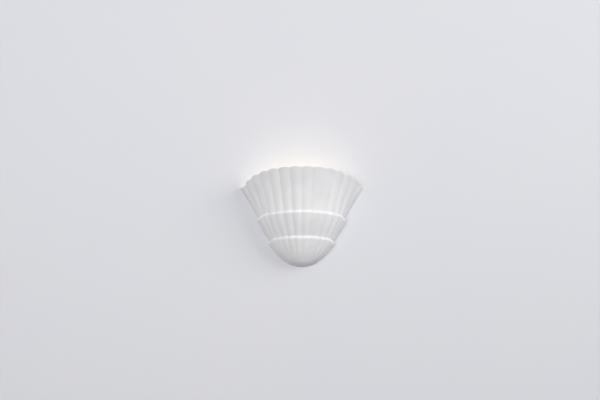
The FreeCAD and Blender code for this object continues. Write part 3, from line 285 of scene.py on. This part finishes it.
def shell_sheets():
    """Matching grids of points for the outside with its band, and for the inside with its back."""
    columns = flute_places()
    stacks = [inside_stack(s) for s in columns]
    rows = stations()
    outside, inside = [], []
    for number, (face, t) in enumerate(rows):
        outside.append(with_band([rubbed(face(s, t)) for s in columns]))
        share = (number / (len(rows) - 1)) ** INSIDE_CROWDING
        inside.append(with_back([inside_at(between(stack[0].z, stack[-1].z, share), stack)
                                 for stack in stacks]))
    return outside, inside


def with_band(face):
    """A row of the face, with the edge band on both sides of it down to the wall."""
    left, right = [], []
    for side, corner, before in ((left, face[0], face[1]), (right, face[-1], face[-2])):
        step = band_step(corner.z - TIP_LEVEL)
        wall = Vector((corner.x + math.copysign(step.x, corner.x), BACK_Y, corner.z + step.z))
        side += rounded(before, corner, wall)
        side += [between(side[-1], wall, share) for share in BAND_PLACES]
        side += rounded(corner, wall, Vector((corner.x, BACK_Y, corner.z)))
    return left[::-1] + face[1:-1] + right


def with_back(inner):
    """A row of the inside, carried straight back to the back of the shell."""
    left, right = [], []
    for side, corner, before in ((left, inner[0], inner[1]), (right, inner[-1], inner[-2])):
        back = Vector((corner.x, BACK_Y, corner.z))
        sideways = back + Vector((math.copysign(1, corner.x), 0, 0))
        side += [between(corner, back, share) for share in BACK_PLACES]
        side += rounded(corner, back, sideways)
    return left[::-1] + inner[1:-1] + right


def rim_rounded(outside, inside):
    """Turns the sharp edges of the rim over, on both grids."""
    last_out, last_in = outside[-1], inside[-1]
    out_rows = [rounded(a, b, c) for a, b, c in zip(outside[-2], last_out, last_in)]
    in_rows = [rounded(a, b, c) for a, b, c in zip(inside[-2], last_in, last_out)]
    outside[-1:] = [list(row) for row in zip(*out_rows)]
    inside[-1:] = [list(row) for row in zip(*in_rows)]


def new_object(name, mesh_maker, body, slot, *nodes):
    """A piece from a bmesh, in millimetres until it is finished."""
    mesh = bpy.data.meshes.new(name)
    bm = bmesh.new()
    mesh_maker(bm)
    bmesh.ops.scale(bm, vec=(MM, MM, MM), verts=bm.verts)
    bmesh.ops.recalc_face_normals(bm, faces=bm.faces)
    bm.to_mesh(mesh)
    bm.free()
    mesh.shade_smooth()
    piece = bpy.data.objects.new(name, mesh)
    bpy.context.scene.collection.objects.link(piece)
    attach(piece, body)
    if nodes:
        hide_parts(*nodes)
    return piece


def grid_faces(bm, rows):
    """Quads between rows of vertices."""
    for low, high in zip(rows, rows[1:]):
        for a, b, c, d in zip(low, low[1:], high[1:], high):
            bm.faces.new((a, b, c, d))


def shell_mesh(bm):
    """The whole wall of the casting: face and band, inside, top of the rim and back."""
    outside, inside = shell_sheets()
    rim_rounded(outside, inside)
    out = [[bm.verts.new(p) for p in row] for row in outside]
    inn = [[bm.verts.new(p) for p in row] for row in inside]
    for sheet in (out, inn, (out[-1], inn[-1])):
        grid_faces(bm, sheet)
    for column in (0, -1):
        grid_faces(bm, ([row[column] for row in out], [row[column] for row in inn]))
    bmesh.ops.remove_doubles(bm, verts=bm.verts, dist=SAME_POINT)
    bmesh.ops.dissolve_degenerate(bm, edges=bm.edges, dist=LEAST_EDGE)


shell = new_object("cast_shell", shell_mesh, "shell", "plaster", "shell")


# ---------------------------------------------------------------- cast lugs, and sockets in them
STRAP_LOW, STRAP_HIGH = (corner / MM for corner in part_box("hanging_strap"))
LUG_REACH = 24.0             # inwards from the end of the strap
LUG_INNER = STRAP_HIGH.x - LUG_REACH
LUG_HEIGHT = 26.0
LUG_DEPTH = 23.0
LUG_FRONT = STRAP_LOW.y - LUG_DEPTH
SHARP_EDGE = math.radians(15)   # edges that turn by more than this are rubbed round
PAST_INSERT = 1.0            # how far a socket runs past both ends of its insert
SOCKET_SIDES = 48
HALVINGS = 24                # of the height of the top tier, to find a level
SIDE_STEP = 0.005            # along the wall, to find how far forward the lug meets it


def wall_middle(s, z):
    """Point in the middle of the shell's wall, in its top tier, at this level."""
    middle = inset(TOP, SHELL_WALL / 2)
    low, high = 0.0, 1.0
    for _ in range(HALVINGS):
        t = (low + high) / 2
        low, high = (t, high) if middle(s, t).z < z else (low, t)
    return middle(s, t)


def lug_corners(z):
    """A lug's outline at this level, from its square inner end out into the shell's wall."""
    s = 1.0
    while wall_middle(s, z).y > LUG_FRONT:
        s -= SIDE_STEP
    side = wall_middle(1, z).x
    plan = ((LUG_INNER, STRAP_LOW.y), (side, STRAP_LOW.y), (side, FACE_Y),
            (wall_middle(s, z).x, LUG_FRONT), (LUG_INNER, LUG_FRONT))
    return [Vector((x, y, z)) for x, y in plan]


def lugs_mesh(bm):
    """The two cast lugs that carry the hanging strap, with rubbed edges."""
    middle = (STRAP_LOW.z + STRAP_HIGH.z) / 2
    for side in (-1, 1):
        points = lug_corners(middle - LUG_HEIGHT / 2) + lug_corners(middle + LUG_HEIGHT / 2)
        verts = [bm.verts.new((side * p.x, p.y, p.z)) for p in points]
        bmesh.ops.convex_hull(bm, input=verts)
    edges = [e for e in bm.edges if e.calc_face_angle(0) > SHARP_EDGE]
    bmesh.ops.bevel(bm, geom=edges, offset=EDGE_ROUND, segments=3, affect="EDGES", profile=0.5)


def sockets_mesh(bm):
    """Where the threaded inserts sit."""
    low, high = (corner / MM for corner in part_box("strap_inserts"))
    radius = (high.z - low.z) / 2
    turns = [2 * math.pi * i / SOCKET_SIDES for i in range(SOCKET_SIDES)]
    for side in (-1, 1):
        x, z = side * (high.x - radius), (low.z + high.z) / 2
        rings = [[bm.verts.new((x + radius * math.cos(a), y, z + radius * math.sin(a)))
                  for a in turns] for y in (low.y - PAST_INSERT, high.y + PAST_INSERT)]
        for ring in rings:
            bm.faces.new(ring)
        grid_faces(bm, [ring + ring[:1] for ring in rings])


def joined_to_shell(name, maker, operation):
    """Adds a form to the casting, or takes it out of it."""
    other = new_object(name, maker, "shell", "plaster")
    change = shell.modifiers.new(name, "BOOLEAN")
    change.operation, change.object, change.solver = operation, other, "EXACT"
    bpy.context.view_layer.update()
    seen = shell.evaluated_get(bpy.context.evaluated_depsgraph_get())
    shell.data = bpy.data.meshes.new_from_object(seen)
    shell.modifiers.clear()
    bpy.data.objects.remove(other)


joined_to_shell("lugs", lugs_mesh, "UNION")
joined_to_shell("sockets", sockets_mesh, "DIFFERENCE")


# ---------------------------------------------------------------- felt pads and woven sleeve
PAD_SIDES = 72
PAD_FIRM = 0.9               # share of the radius out to which the felt keeps its form
FIBRE_REACH = 0.02           # how far the edge is drawn in between fibres, as a share of the radius
FIBRES_PER_MM = 1.7
# From the middle of a disc's front round its edge to the middle of its back, as shares of its
# radius and of its thickness.
PAD_PROFILE = ((0, 1), (0.5, 1), (0.9, 1), (0.97, 0.9), (1, 0.6), (1, 0.4), (0.97, 0.1), (0.9, 0),
               (0.5, 0), (0, 0))


def pad_ring(bm, centre, radius, share, y):
    """One ring of a disc, drawn in between its fibres where it is near the edge."""
    ring = []
    for i in range(PAD_SIDES + 1):
        a = 2 * math.pi * (i % PAD_SIDES) / PAD_SIDES
        arm = Vector((math.cos(a), 0, math.sin(a))) * radius * share
        if share > PAD_FIRM:
            arm *= 1 - FIBRE_REACH * abs(noise.noise((centre + arm) * FIBRES_PER_MM))
        ring.append(bm.verts.new((centre.x + arm.x, y, centre.z + arm.z)))
    return ring


def pads_mesh(bm):
    """Punched felt discs: their cut edges have gone soft and slightly uneven with fibre."""
    front = (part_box("wall_pads")[0] / MM).y
    points = [v.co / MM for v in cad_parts["wall_pads"].data.vertices]
    for left in (True, False):
        for upper in (True, False):
            mine = [p for p in points if (p.x < 0) == left and (p.z > 0) == upper]
            xs, zs = [p.x for p in mine], [p.z for p in mine]
            centre = Vector(((min(xs) + max(xs)) / 2, 0, (min(zs) + max(zs)) / 2))
            radius = (max(xs) - min(xs)) / 2
            grid_faces(bm, [pad_ring(bm, centre, radius, share, front * depth)
                            for share, depth in PAD_PROFILE])
    bmesh.ops.remove_doubles(bm, verts=bm.verts, dist=SAME_POINT)


SLEEVE_LOW, SLEEVE_HIGH = (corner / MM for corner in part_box("sleeving"))
SLEEVE_RADIUS = (SLEEVE_HIGH.x - SLEEVE_LOW.x) / 2
SLEEVE_AXIS_Y = (SLEEVE_LOW.y + SLEEVE_HIGH.y) / 2
SLEEVE_THICKNESS = 0.4
SLEEVE_STEP = 0.2            # between two rows of the mesh
SLEEVE_SIDES = 96
STRANDS = 12                 # each way round the braid
BRAID_PITCH = 9.0            # one turn of a strand
BRAID_DEPTH = 0.16
CROSSING = 0.3               # share of the braid's depth that only a crossing of strands has


def braid(angle, z):
    """Height of the braid's strands, 0 to 1, where they cross over and under."""
    turn = 2 * math.pi * z / BRAID_PITCH
    one = math.cos(STRANDS * (angle + turn) / 2) ** 2
    other = math.cos(STRANDS * (angle - turn) / 2) ** 2
    return max(one, other) * (1 - CROSSING) + one * other * CROSSING


def sleeve_mesh(bm):
    """The braided outside, row by row upwards, and then the smooth inside downwards."""
    steps = int((SLEEVE_HIGH.z - SLEEVE_LOW.z) / SLEEVE_STEP)
    levels = [between(SLEEVE_LOW.z, SLEEVE_HIGH.z, i / steps) for i in range(steps + 1)]
    turns = [2 * math.pi * j / SLEEVE_SIDES for j in range(SLEEVE_SIDES)]
    outside = [[(a, SLEEVE_RADIUS - BRAID_DEPTH * (1 - braid(a, z)), z) for a in turns]
               for z in levels]
    inside = [[(a, SLEEVE_RADIUS - SLEEVE_THICKNESS, z) for a in turns] for z in reversed(levels)]
    rows = []
    for ring in outside + inside:
        row = [bm.verts.new((r * math.cos(a), SLEEVE_AXIS_Y + r * math.sin(a), z))
               for a, r, z in ring]
        rows.append(row + row[:1])
    grid_faces(bm, rows + rows[:1])


felt_pads = new_object("felt_pads", pads_mesh, "shell", "felt", "wall_pads")
woven_sleeve = new_object("woven_sleeve", sleeve_mesh, "wall_bracket", "woven_glass", "sleeving")


# ---------------------------------------------------------------- finishes
LAMP_GLOW = 3.1              # brightness of the lit globe, at its middle and above
NECK_GLOW = 0.4              # share of it at the neck
MIX_LOW, MIX_HIGH, MIX_RESULT = 6, 7, 2   # colour inputs and colour output of the Mix node
MOULDED_SPREAD = (0.92, 1.08)   # how far roughness strays from its middle value, in patches
METAL_SPREAD = (0.75, 1.3)
MOULDED_EDGE = 0.3           # radius that a sharp edge catches the light with, mm
METAL_EDGE = 0.25


def add(owner, kind, inputs=None, **settings):
    """A node of a material or the world; each input is a value or another node's output."""
    node = owner.node_tree.nodes.new(kind)
    for name, value in settings.items():
        setattr(node, name, value)
    for name, value in (inputs or {}).items():
        if isinstance(value, bpy.types.NodeSocket):
            owner.node_tree.links.new(value, node.inputs[name])
        else:
            node.inputs[name].default_value = value
    return node


def finish_named(name):
    material = bpy.data.materials.new(name)
    material.use_nodes = True
    material.node_tree.nodes.clear()
    return material


def finished(material, shader):
    add(material, "ShaderNodeOutputMaterial", {"Surface": shader.outputs[0]})
    return material


def place(material):
    """Place on the object in metres, as it is at rest."""
    return add(material, "ShaderNodeTexCoord").outputs["Object"]


def cast_plaster():
    """Gypsum plaster, cast, rubbed down and painted matt white: chalky, with faint clouding."""
    m = finish_named("cast_plaster")
    at = place(m)
    clouds = add(m, "ShaderNodeTexNoise", {"Vector": at, "Scale": 1 / (45 * MM), "Detail": 3.0})
    colour = add(m, "ShaderNodeValToRGB", {"Fac": clouds.outputs["Fac"]})
    colour.color_ramp.elements[0].position = 0.35
    colour.color_ramp.elements[0].color = srgb("#E9E9EA")
    colour.color_ramp.elements[1].position = 0.65
    colour.color_ramp.elements[1].color = srgb("#EEEEEE")
    # Brushed paint has a grain of about 0.2 mm; it is drawn at 1 mm, to show at all.
    grain = add(m, "ShaderNodeTexNoise", {"Vector": at, "Scale": 1 / (1.0 * MM), "Detail": 4.0})
    bump = add(m, "ShaderNodeBump", {"Height": grain.outputs["Fac"], "Strength": 0.25,
                                     "Distance": 0.12 * MM})
    rough = add(m, "ShaderNodeMapRange", {"Value": clouds.outputs["Fac"], "To Min": 0.68,
                                          "To Max": 0.8})
    shader = add(m, "ShaderNodeBsdfPrincipled", {
        "Base Color": colour.outputs["Color"], "Roughness": rough.outputs["Result"],
        "IOR": 1.52, "Specular IOR Level": 0.4, "Normal": bump.outputs["Normal"]})
    return finished(m, shader)


def moulded(name, low, high, patch, roughness, grain, depth, **constants):
    """A non-metal whose colour drifts between two shades over patches, with a fine grain (mm)."""
    m = finish_named(name)
    at = place(m)
    drift = add(m, "ShaderNodeTexNoise", {"Vector": at, "Scale": 1 / (patch * MM), "Detail": 3.0})
    colour = add(m, "ShaderNodeMix", {"Factor": drift.outputs["Fac"], MIX_LOW: srgb(low),
                                      MIX_HIGH: srgb(high)}, data_type="RGBA")
    smooth, coarse = (roughness * share for share in MOULDED_SPREAD)
    rough = add(m, "ShaderNodeMapRange", {"Value": drift.outputs["Fac"], "From Min": 0.3,
                                          "From Max": 0.7, "To Min": smooth, "To Max": coarse})
    edge = add(m, "ShaderNodeBevel", {"Radius": MOULDED_EDGE * MM}, samples=4)
    fine = add(m, "ShaderNodeTexNoise", {"Vector": at, "Scale": 1 / (grain * MM), "Detail": 2.0})
    bump = add(m, "ShaderNodeBump", {"Height": fine.outputs["Fac"], "Strength": 0.4,
                                     "Distance": depth * MM, "Normal": edge.outputs["Normal"]})
    others = {socket.replace("_", " "): value for socket, value in constants.items()}
    shader = add(m, "ShaderNodeBsdfPrincipled", {
        "Base Color": colour.outputs[MIX_RESULT], "Roughness": rough.outputs["Result"],
        "Normal": bump.outputs["Normal"], **others})
    return finished(m, shader)


def metal(name, low, high, patch, roughness, marks, depth):
    """A bare or plated metal; marks are its rolling, turning or plating marks per mm, by axis."""
    m = finish_named(name)
    at = place(m)
    drift = add(m, "ShaderNodeTexNoise", {"Vector": at, "Scale": 1 / (patch * MM), "Detail": 4.0})
    colour = add(m, "ShaderNodeMix", {"Factor": drift.outputs["Fac"], MIX_LOW: srgb(low),
                                      MIX_HIGH: srgb(high)}, data_type="RGBA")
    stretched = add(m, "ShaderNodeMapping", {"Vector": at, "Scale": marks})
    lines = add(m, "ShaderNodeTexNoise", {"Vector": stretched.outputs["Vector"], "Scale": 1 / MM,
                                          "Detail": 3.0})
    smooth, coarse = (roughness * share for share in METAL_SPREAD)
    rough = add(m, "ShaderNodeMapRange", {"Value": lines.outputs["Fac"], "From Min": 0.3,
                                          "From Max": 0.7, "To Min": smooth, "To Max": coarse})
    edge = add(m, "ShaderNodeBevel", {"Radius": METAL_EDGE * MM}, samples=4)
    bump = add(m, "ShaderNodeBump", {"Height": lines.outputs["Fac"], "Strength": 0.3,
                                     "Distance": depth * MM, "Normal": edge.outputs["Normal"]})
    shader = add(m, "ShaderNodeBsdfPrincipled", {
        "Base Color": colour.outputs[MIX_RESULT], "Metallic": 1.0,
        "Roughness": rough.outputs["Result"], "Normal": bump.outputs["Normal"]})
    return finished(m, shader)


def lit_frosted_glass():
    """Opal glass, acid-etched and lit from inside: warm and even, dimmer at the neck."""
    m = finish_named("lit_frosted_glass")
    at = place(m)
    low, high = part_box("lamp_glass")
    level = add(m, "ShaderNodeSeparateXYZ", {"Vector": at}).outputs["Z"]
    glow = add(m, "ShaderNodeMapRange", {
        "Value": level, "From Min": low.z, "From Max": (low.z + high.z) / 2,
        "To Min": LAMP_GLOW * NECK_GLOW, "To Max": LAMP_GLOW}, interpolation_type="SMOOTHSTEP")
    etch = add(m, "ShaderNodeTexNoise", {"Vector": at, "Scale": 1 / (0.8 * MM)})
    bump = add(m, "ShaderNodeBump", {"Height": etch.outputs["Fac"], "Strength": 0.2,
                                     "Distance": 0.05 * MM})
    shader = add(m, "ShaderNodeBsdfPrincipled", {
        "Base Color": srgb("#F4F0E8"), "Roughness": 0.45, "IOR": 1.52,
        "Emission Color": srgb("#FFD868"), "Emission Strength": glow.outputs["Result"],
        "Normal": bump.outputs["Normal"]})
    return finished(m, shader)


def blown_clear_glass():
    """Clear soda glass, drawn by hand: a few faint waves."""
    m = finish_named("blown_clear_glass")
    waves = add(m, "ShaderNodeTexNoise", {"Vector": place(m), "Scale": 1 / (4 * MM)})
    bump = add(m, "ShaderNodeBump", {"Height": waves.outputs["Fac"], "Strength": 0.2,
                                     "Distance": 0.1 * MM})
    shader = add(m, "ShaderNodeBsdfPrincipled", {
        "Base Color": srgb("#F2F6F4"), "Roughness": 0.03, "IOR": 1.52,
        "Transmission Weight": 1.0, "Normal": bump.outputs["Normal"]})
    return finished(m, shader)


def striped_sheath():
    """Extruded green sheath with the yellow stripes of an earth wire, satin."""
    m = finish_named("striped_sheath")
    at = place(m)
    stripes = add(m, "ShaderNodeTexWave", {"Vector": at, "Scale": 1 / (7 * MM), "Distortion": 1.0},
                  wave_type="BANDS", bands_direction="DIAGONAL")
    edge = add(m, "ShaderNodeMath", {0: stripes.outputs["Fac"], 1: 0.62}, operation="GREATER_THAN")
    colour = add(m, "ShaderNodeMix", {"Factor": edge.outputs[0], MIX_LOW: srgb("#2E7A3B"),
                                      MIX_HIGH: srgb("#D9C531")}, data_type="RGBA")
    shader = add(m, "ShaderNodeBsdfPrincipled", {
        "Base Color": colour.outputs[MIX_RESULT], "Roughness": 0.42, "IOR": 1.53})
    return finished(m, shader)


# Two shades, patch size (mm), roughness, grain (mm) or marks (per mm), and the depth of these (mm).
# A grain finer than about 0.3 mm is drawn at 0.3 to 0.5 mm, to show at all.
FINISHES = {
    "plaster": cast_plaster(),
    # Cold-rolled strip, zinc plated: bluish, with fine level lines.
    "zinc_plated_steel": metal("zinc_plated_steel", "#B4B8BE", "#C9CCD0", 9, 0.34, (0.15, 2, 2),
                               0.03),
    # Cold-headed screws, zinc plated: brighter, even.
    "screw_steel": metal("screw_steel", "#BDBFC2", "#D2D3D4", 3, 0.26, (2, 2, 2), 0.02),
    # Turned and stamped brass, left bare: yellow, slightly tarnished in patches.
    "brass": metal("brass", "#B9934A", "#D8B566", 5, 0.3, (1.2, 1.2, 3), 0.03),
    # Nickel on a brass cap: warm grey and bright.
    "nickel_cap": metal("nickel_cap", "#BDB8AE", "#D0CBC1", 4, 0.22, (1, 1, 3), 0.02),
    # Tinned copper and solder: dull, grey, slightly lumpy.
    "solder": metal("solder", "#A3A4A6", "#BCBDBE", 1.5, 0.45, (1, 1, 1), 0.08),
    # Powder enamel, stoved: white, glossy, with orange peel of about 2 mm.
    "white_enamel": moulded("white_enamel", "#E9E9E5", "#EDEDEA", 12, 0.3, 2.0, 0.05,
                            IOR=1.5, Coat_Weight=0.3, Coat_Roughness=0.12),
    # Pressed wool felt: grey-white, matt, fibres with a sheen.
    "felt": moulded("felt", "#8E8B84", "#B5B2AA", 1.2, 0.95, 0.4, 0.3, IOR=1.45,
                    Sheen_Weight=0.4),
    # Phenolic moulding: near black, glossy, faint flow marks.
    "black_plastic": moulded("black_plastic", "#191716", "#24211F", 8, 0.26, 1.2, 0.02, IOR=1.6),
    # Soft vinyl bush: dark grey and satin.
    "bush_plastic": moulded("bush_plastic", "#2A2A2B", "#353536", 5, 0.55, 0.5, 0.04, IOR=1.53),
    # Glazed porcelain: warm white, wet gloss.
    "porcelain": moulded("porcelain", "#E9E4D8", "#F2EEE4", 6, 0.16, 1.5, 0.02, IOR=1.54,
                         Coat_Weight=0.5, Coat_Roughness=0.06),
    # Braided glass yarn, varnished: cream and satin, on strands that are in the mesh.
    "woven_glass": moulded("woven_glass", "#CFC39F", "#E9E0C4", 0.8, 0.6, 0.3, 0.12, IOR=1.5),
    # Natural polyamide: milky, satin.
    "terminal_plastic": moulded("terminal_plastic", "#DAD7CB", "#E8E5DA", 6, 0.42, 0.6, 0.03,
                                IOR=1.53),
    # Black glass run into the cap: glossy.
    "black_glass": moulded("black_glass", "#121016", "#1C1820", 3, 0.1, 2.0, 0.02, IOR=1.52),
    # White moulded collar of the lamp: satin.
    "lamp_plastic": moulded("lamp_plastic", "#EAE8E2", "#F2F1EC", 8, 0.38, 0.5, 0.02, IOR=1.58),
    # Phosphor on the filaments: yellow, powdery.
    "filament_coating": moulded("filament_coating", "#D9A928", "#EAC347", 0.6, 0.8, 0.3, 0.05,
                                IOR=1.5),
    # Extruded wire sheaths: satin, with a faint grain.
    "black_sheath": moulded("black_sheath", "#1E1D1D", "#2A2929", 3, 0.42, 0.6, 0.02, IOR=1.53),
    "white_sheath": moulded("white_sheath", "#DFDED8", "#EAE9E4", 3, 0.42, 0.6, 0.02, IOR=1.53),
    "green_sheath": striped_sheath(),
    "frosted_glass": lit_frosted_glass(),
    "clear_glass": blown_clear_glass(),
}
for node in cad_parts.values():
    for slot in node.material_slots:
        slot.material = FINISHES[slot.material.name]
for piece, slot in ((shell, "plaster"), (felt_pads, "felt"), (woven_sleeve, "woven_glass")):
    piece.data.materials.clear()
    piece.data.materials.append(FINISHES[slot])


# ---------------------------------------------------------------- wall, floor, light and camera
WALL_HALF, WALL_TOP, FLOOR_LEVEL, FLOOR_HALF = 4.0, 2.5, -1.4, 8.0
GAP_REACH = 0.012            # rays this short come from the back of the object and pass the wall
ROOM_LOW, ROOM_HIGH = 0.2, 0.46   # light of the room from below and from above
ROOM_SEEN = 0.8              # light of the room where it is seen


def stage_plane(name, corners, material):
    """A flat piece of the room, which isn't part of the object."""
    mesh = bpy.data.meshes.new(name)
    mesh.from_pydata(corners, [], [(0, 1, 2, 3)])
    plane = bpy.data.objects.new(name, mesh)
    bpy.context.scene.collection.objects.link(plane)
    mesh.materials.append(material)


def painted_wall():
    """Emulsion-painted wall that only the room sees, so that the object's back shows and is lit."""
    m = finish_named("painted_wall")
    mottle = add(m, "ShaderNodeTexNoise", {"Vector": place(m), "Scale": 1 / (600 * MM)})
    colour = add(m, "ShaderNodeValToRGB", {"Fac": mottle.outputs["Fac"]})
    colour.color_ramp.elements[0].color = srgb("#DCDDE2")
    colour.color_ramp.elements[1].color = srgb("#DFDFE3")
    paint = add(m, "ShaderNodeBsdfPrincipled", {"Base Color": colour.outputs["Color"],
                                                "Roughness": 0.85})
    clear = add(m, "ShaderNodeBsdfTransparent")
    behind = add(m, "ShaderNodeNewGeometry").outputs["Backfacing"]
    ray = add(m, "ShaderNodeLightPath")
    near = add(m, "ShaderNodeMath", {0: ray.outputs["Ray Length"], 1: GAP_REACH},
               operation="LESS_THAN")
    lets_by = add(m, "ShaderNodeMath", {0: near.outputs[0], 1: ray.outputs["Is Shadow Ray"]},
                  operation="MAXIMUM")
    open_to = add(m, "ShaderNodeMath", {0: behind, 1: lets_by.outputs[0]}, operation="MAXIMUM")
    mixed = add(m, "ShaderNodeMixShader", {0: open_to.outputs[0], 1: paint.outputs[0],
                                           2: clear.outputs[0]})
    return finished(m, mixed)


def seen_directly(owner):
    """1 where the camera, a reflection or a clear glass shows this surface, else 0."""
    ray = add(owner, "ShaderNodeLightPath").outputs
    either = add(owner, "ShaderNodeMath", {0: ray["Is Camera Ray"], 1: ray["Is Glossy Ray"]},
                 operation="MAXIMUM")
    return add(owner, "ShaderNodeMath", {0: either.outputs[0], 1: ray["Is Transmission Ray"]},
               operation="MAXIMUM").outputs[0]


def pale_floor():
    """Matt floor that is darker to the light than to the eye, so that it doesn't light the bowl."""
    m = finish_named("pale_floor")
    mottle = add(m, "ShaderNodeTexNoise", {"Vector": place(m), "Scale": 1 / (400 * MM)})
    colour = add(m, "ShaderNodeValToRGB", {"Fac": mottle.outputs["Fac"]})
    colour.color_ramp.elements[0].color = srgb("#DADADC")
    colour.color_ramp.elements[1].color = srgb("#DEDEE0")
    paint = add(m, "ShaderNodeBsdfPrincipled", {"Base Color": srgb("#727274"), "Roughness": 0.8})
    seen = add(m, "ShaderNodeEmission", {"Color": colour.outputs["Color"]})
    mixed = add(m, "ShaderNodeMixShader", {0: seen_directly(m), 1: paint.outputs[0],
                                           2: seen.outputs[0]})
    return finished(m, mixed)


stage_plane("wall", [(-WALL_HALF, 0, FLOOR_LEVEL), (WALL_HALF, 0, FLOOR_LEVEL),
                     (WALL_HALF, 0, WALL_TOP), (-WALL_HALF, 0, WALL_TOP)], painted_wall())
stage_plane("floor", [(-FLOOR_HALF, -FLOOR_HALF, FLOOR_LEVEL), (FLOOR_HALF, -FLOOR_HALF, FLOOR_LEVEL),
                      (FLOOR_HALF, FLOOR_HALF, FLOOR_LEVEL), (-FLOOR_HALF, FLOOR_HALF, FLOOR_LEVEL)],
            pale_floor())


def soft_lamp(name, position, size, watts):
    """A round lamp that looks at the middle of the sconce."""
    data = bpy.data.lights.new(name, "AREA")
    data.shape = "DISK"
    data.size = size
    data.energy = watts
    lamp = bpy.data.objects.new(name, data)
    lamp.location = position
    lamp.rotation_euler = (-Vector(position)).to_track_quat("-Z", "Y").to_euler()
    bpy.context.scene.collection.objects.link(lamp)


soft_lamp("key_right", (2.8, -1.8, 1.3), 2.2, 58)
soft_lamp("fill_front", (-1.0, -3.2, 0.7), 1.6, 63)
soft_lamp("behind_left", (-1.6, 1.8, 1.4), 1.4, 19)
soft_lamp("behind_right", (1.8, 1.6, 0.4), 1.4, 12)

world = bpy.data.worlds.new("pale_room")
world.use_nodes = True
world.node_tree.nodes.clear()
# The room is brighter above than below; what the camera sees past the wall is plain and pale.
upwards = add(world, "ShaderNodeSeparateXYZ",
              {"Vector": add(world, "ShaderNodeTexCoord").outputs["Generated"]}).outputs["Z"]
room = add(world, "ShaderNodeMapRange", {"Value": upwards, "From Min": -0.6, "From Max": 0.9,
                                         "To Min": ROOM_LOW, "To Max": ROOM_HIGH})
strength = add(world, "ShaderNodeMix", {"Factor": seen_directly(world),
                                        "A": room.outputs["Result"], "B": ROOM_SEEN})
sky = add(world, "ShaderNodeBackground", {"Color": srgb("#F2F2F4"),
                                          "Strength": strength.outputs["Result"]})
add(world, "ShaderNodeOutputWorld", {"Surface": sky.outputs[0]})
bpy.context.scene.world = world

camera_data = bpy.data.cameras.new("camera")
camera_data.lens = LENS
camera = bpy.data.objects.new("camera", camera_data)
camera.location = (CAMERA_SIDE, -CAMERA_DISTANCE, CAMERA_LEVEL)
camera.rotation_euler = (math.radians(90), 0, 0)
bpy.context.scene.collection.objects.link(camera)
bpy.context.scene.camera = camera
bpy.context.scene.view_settings.view_transform = "Standard"
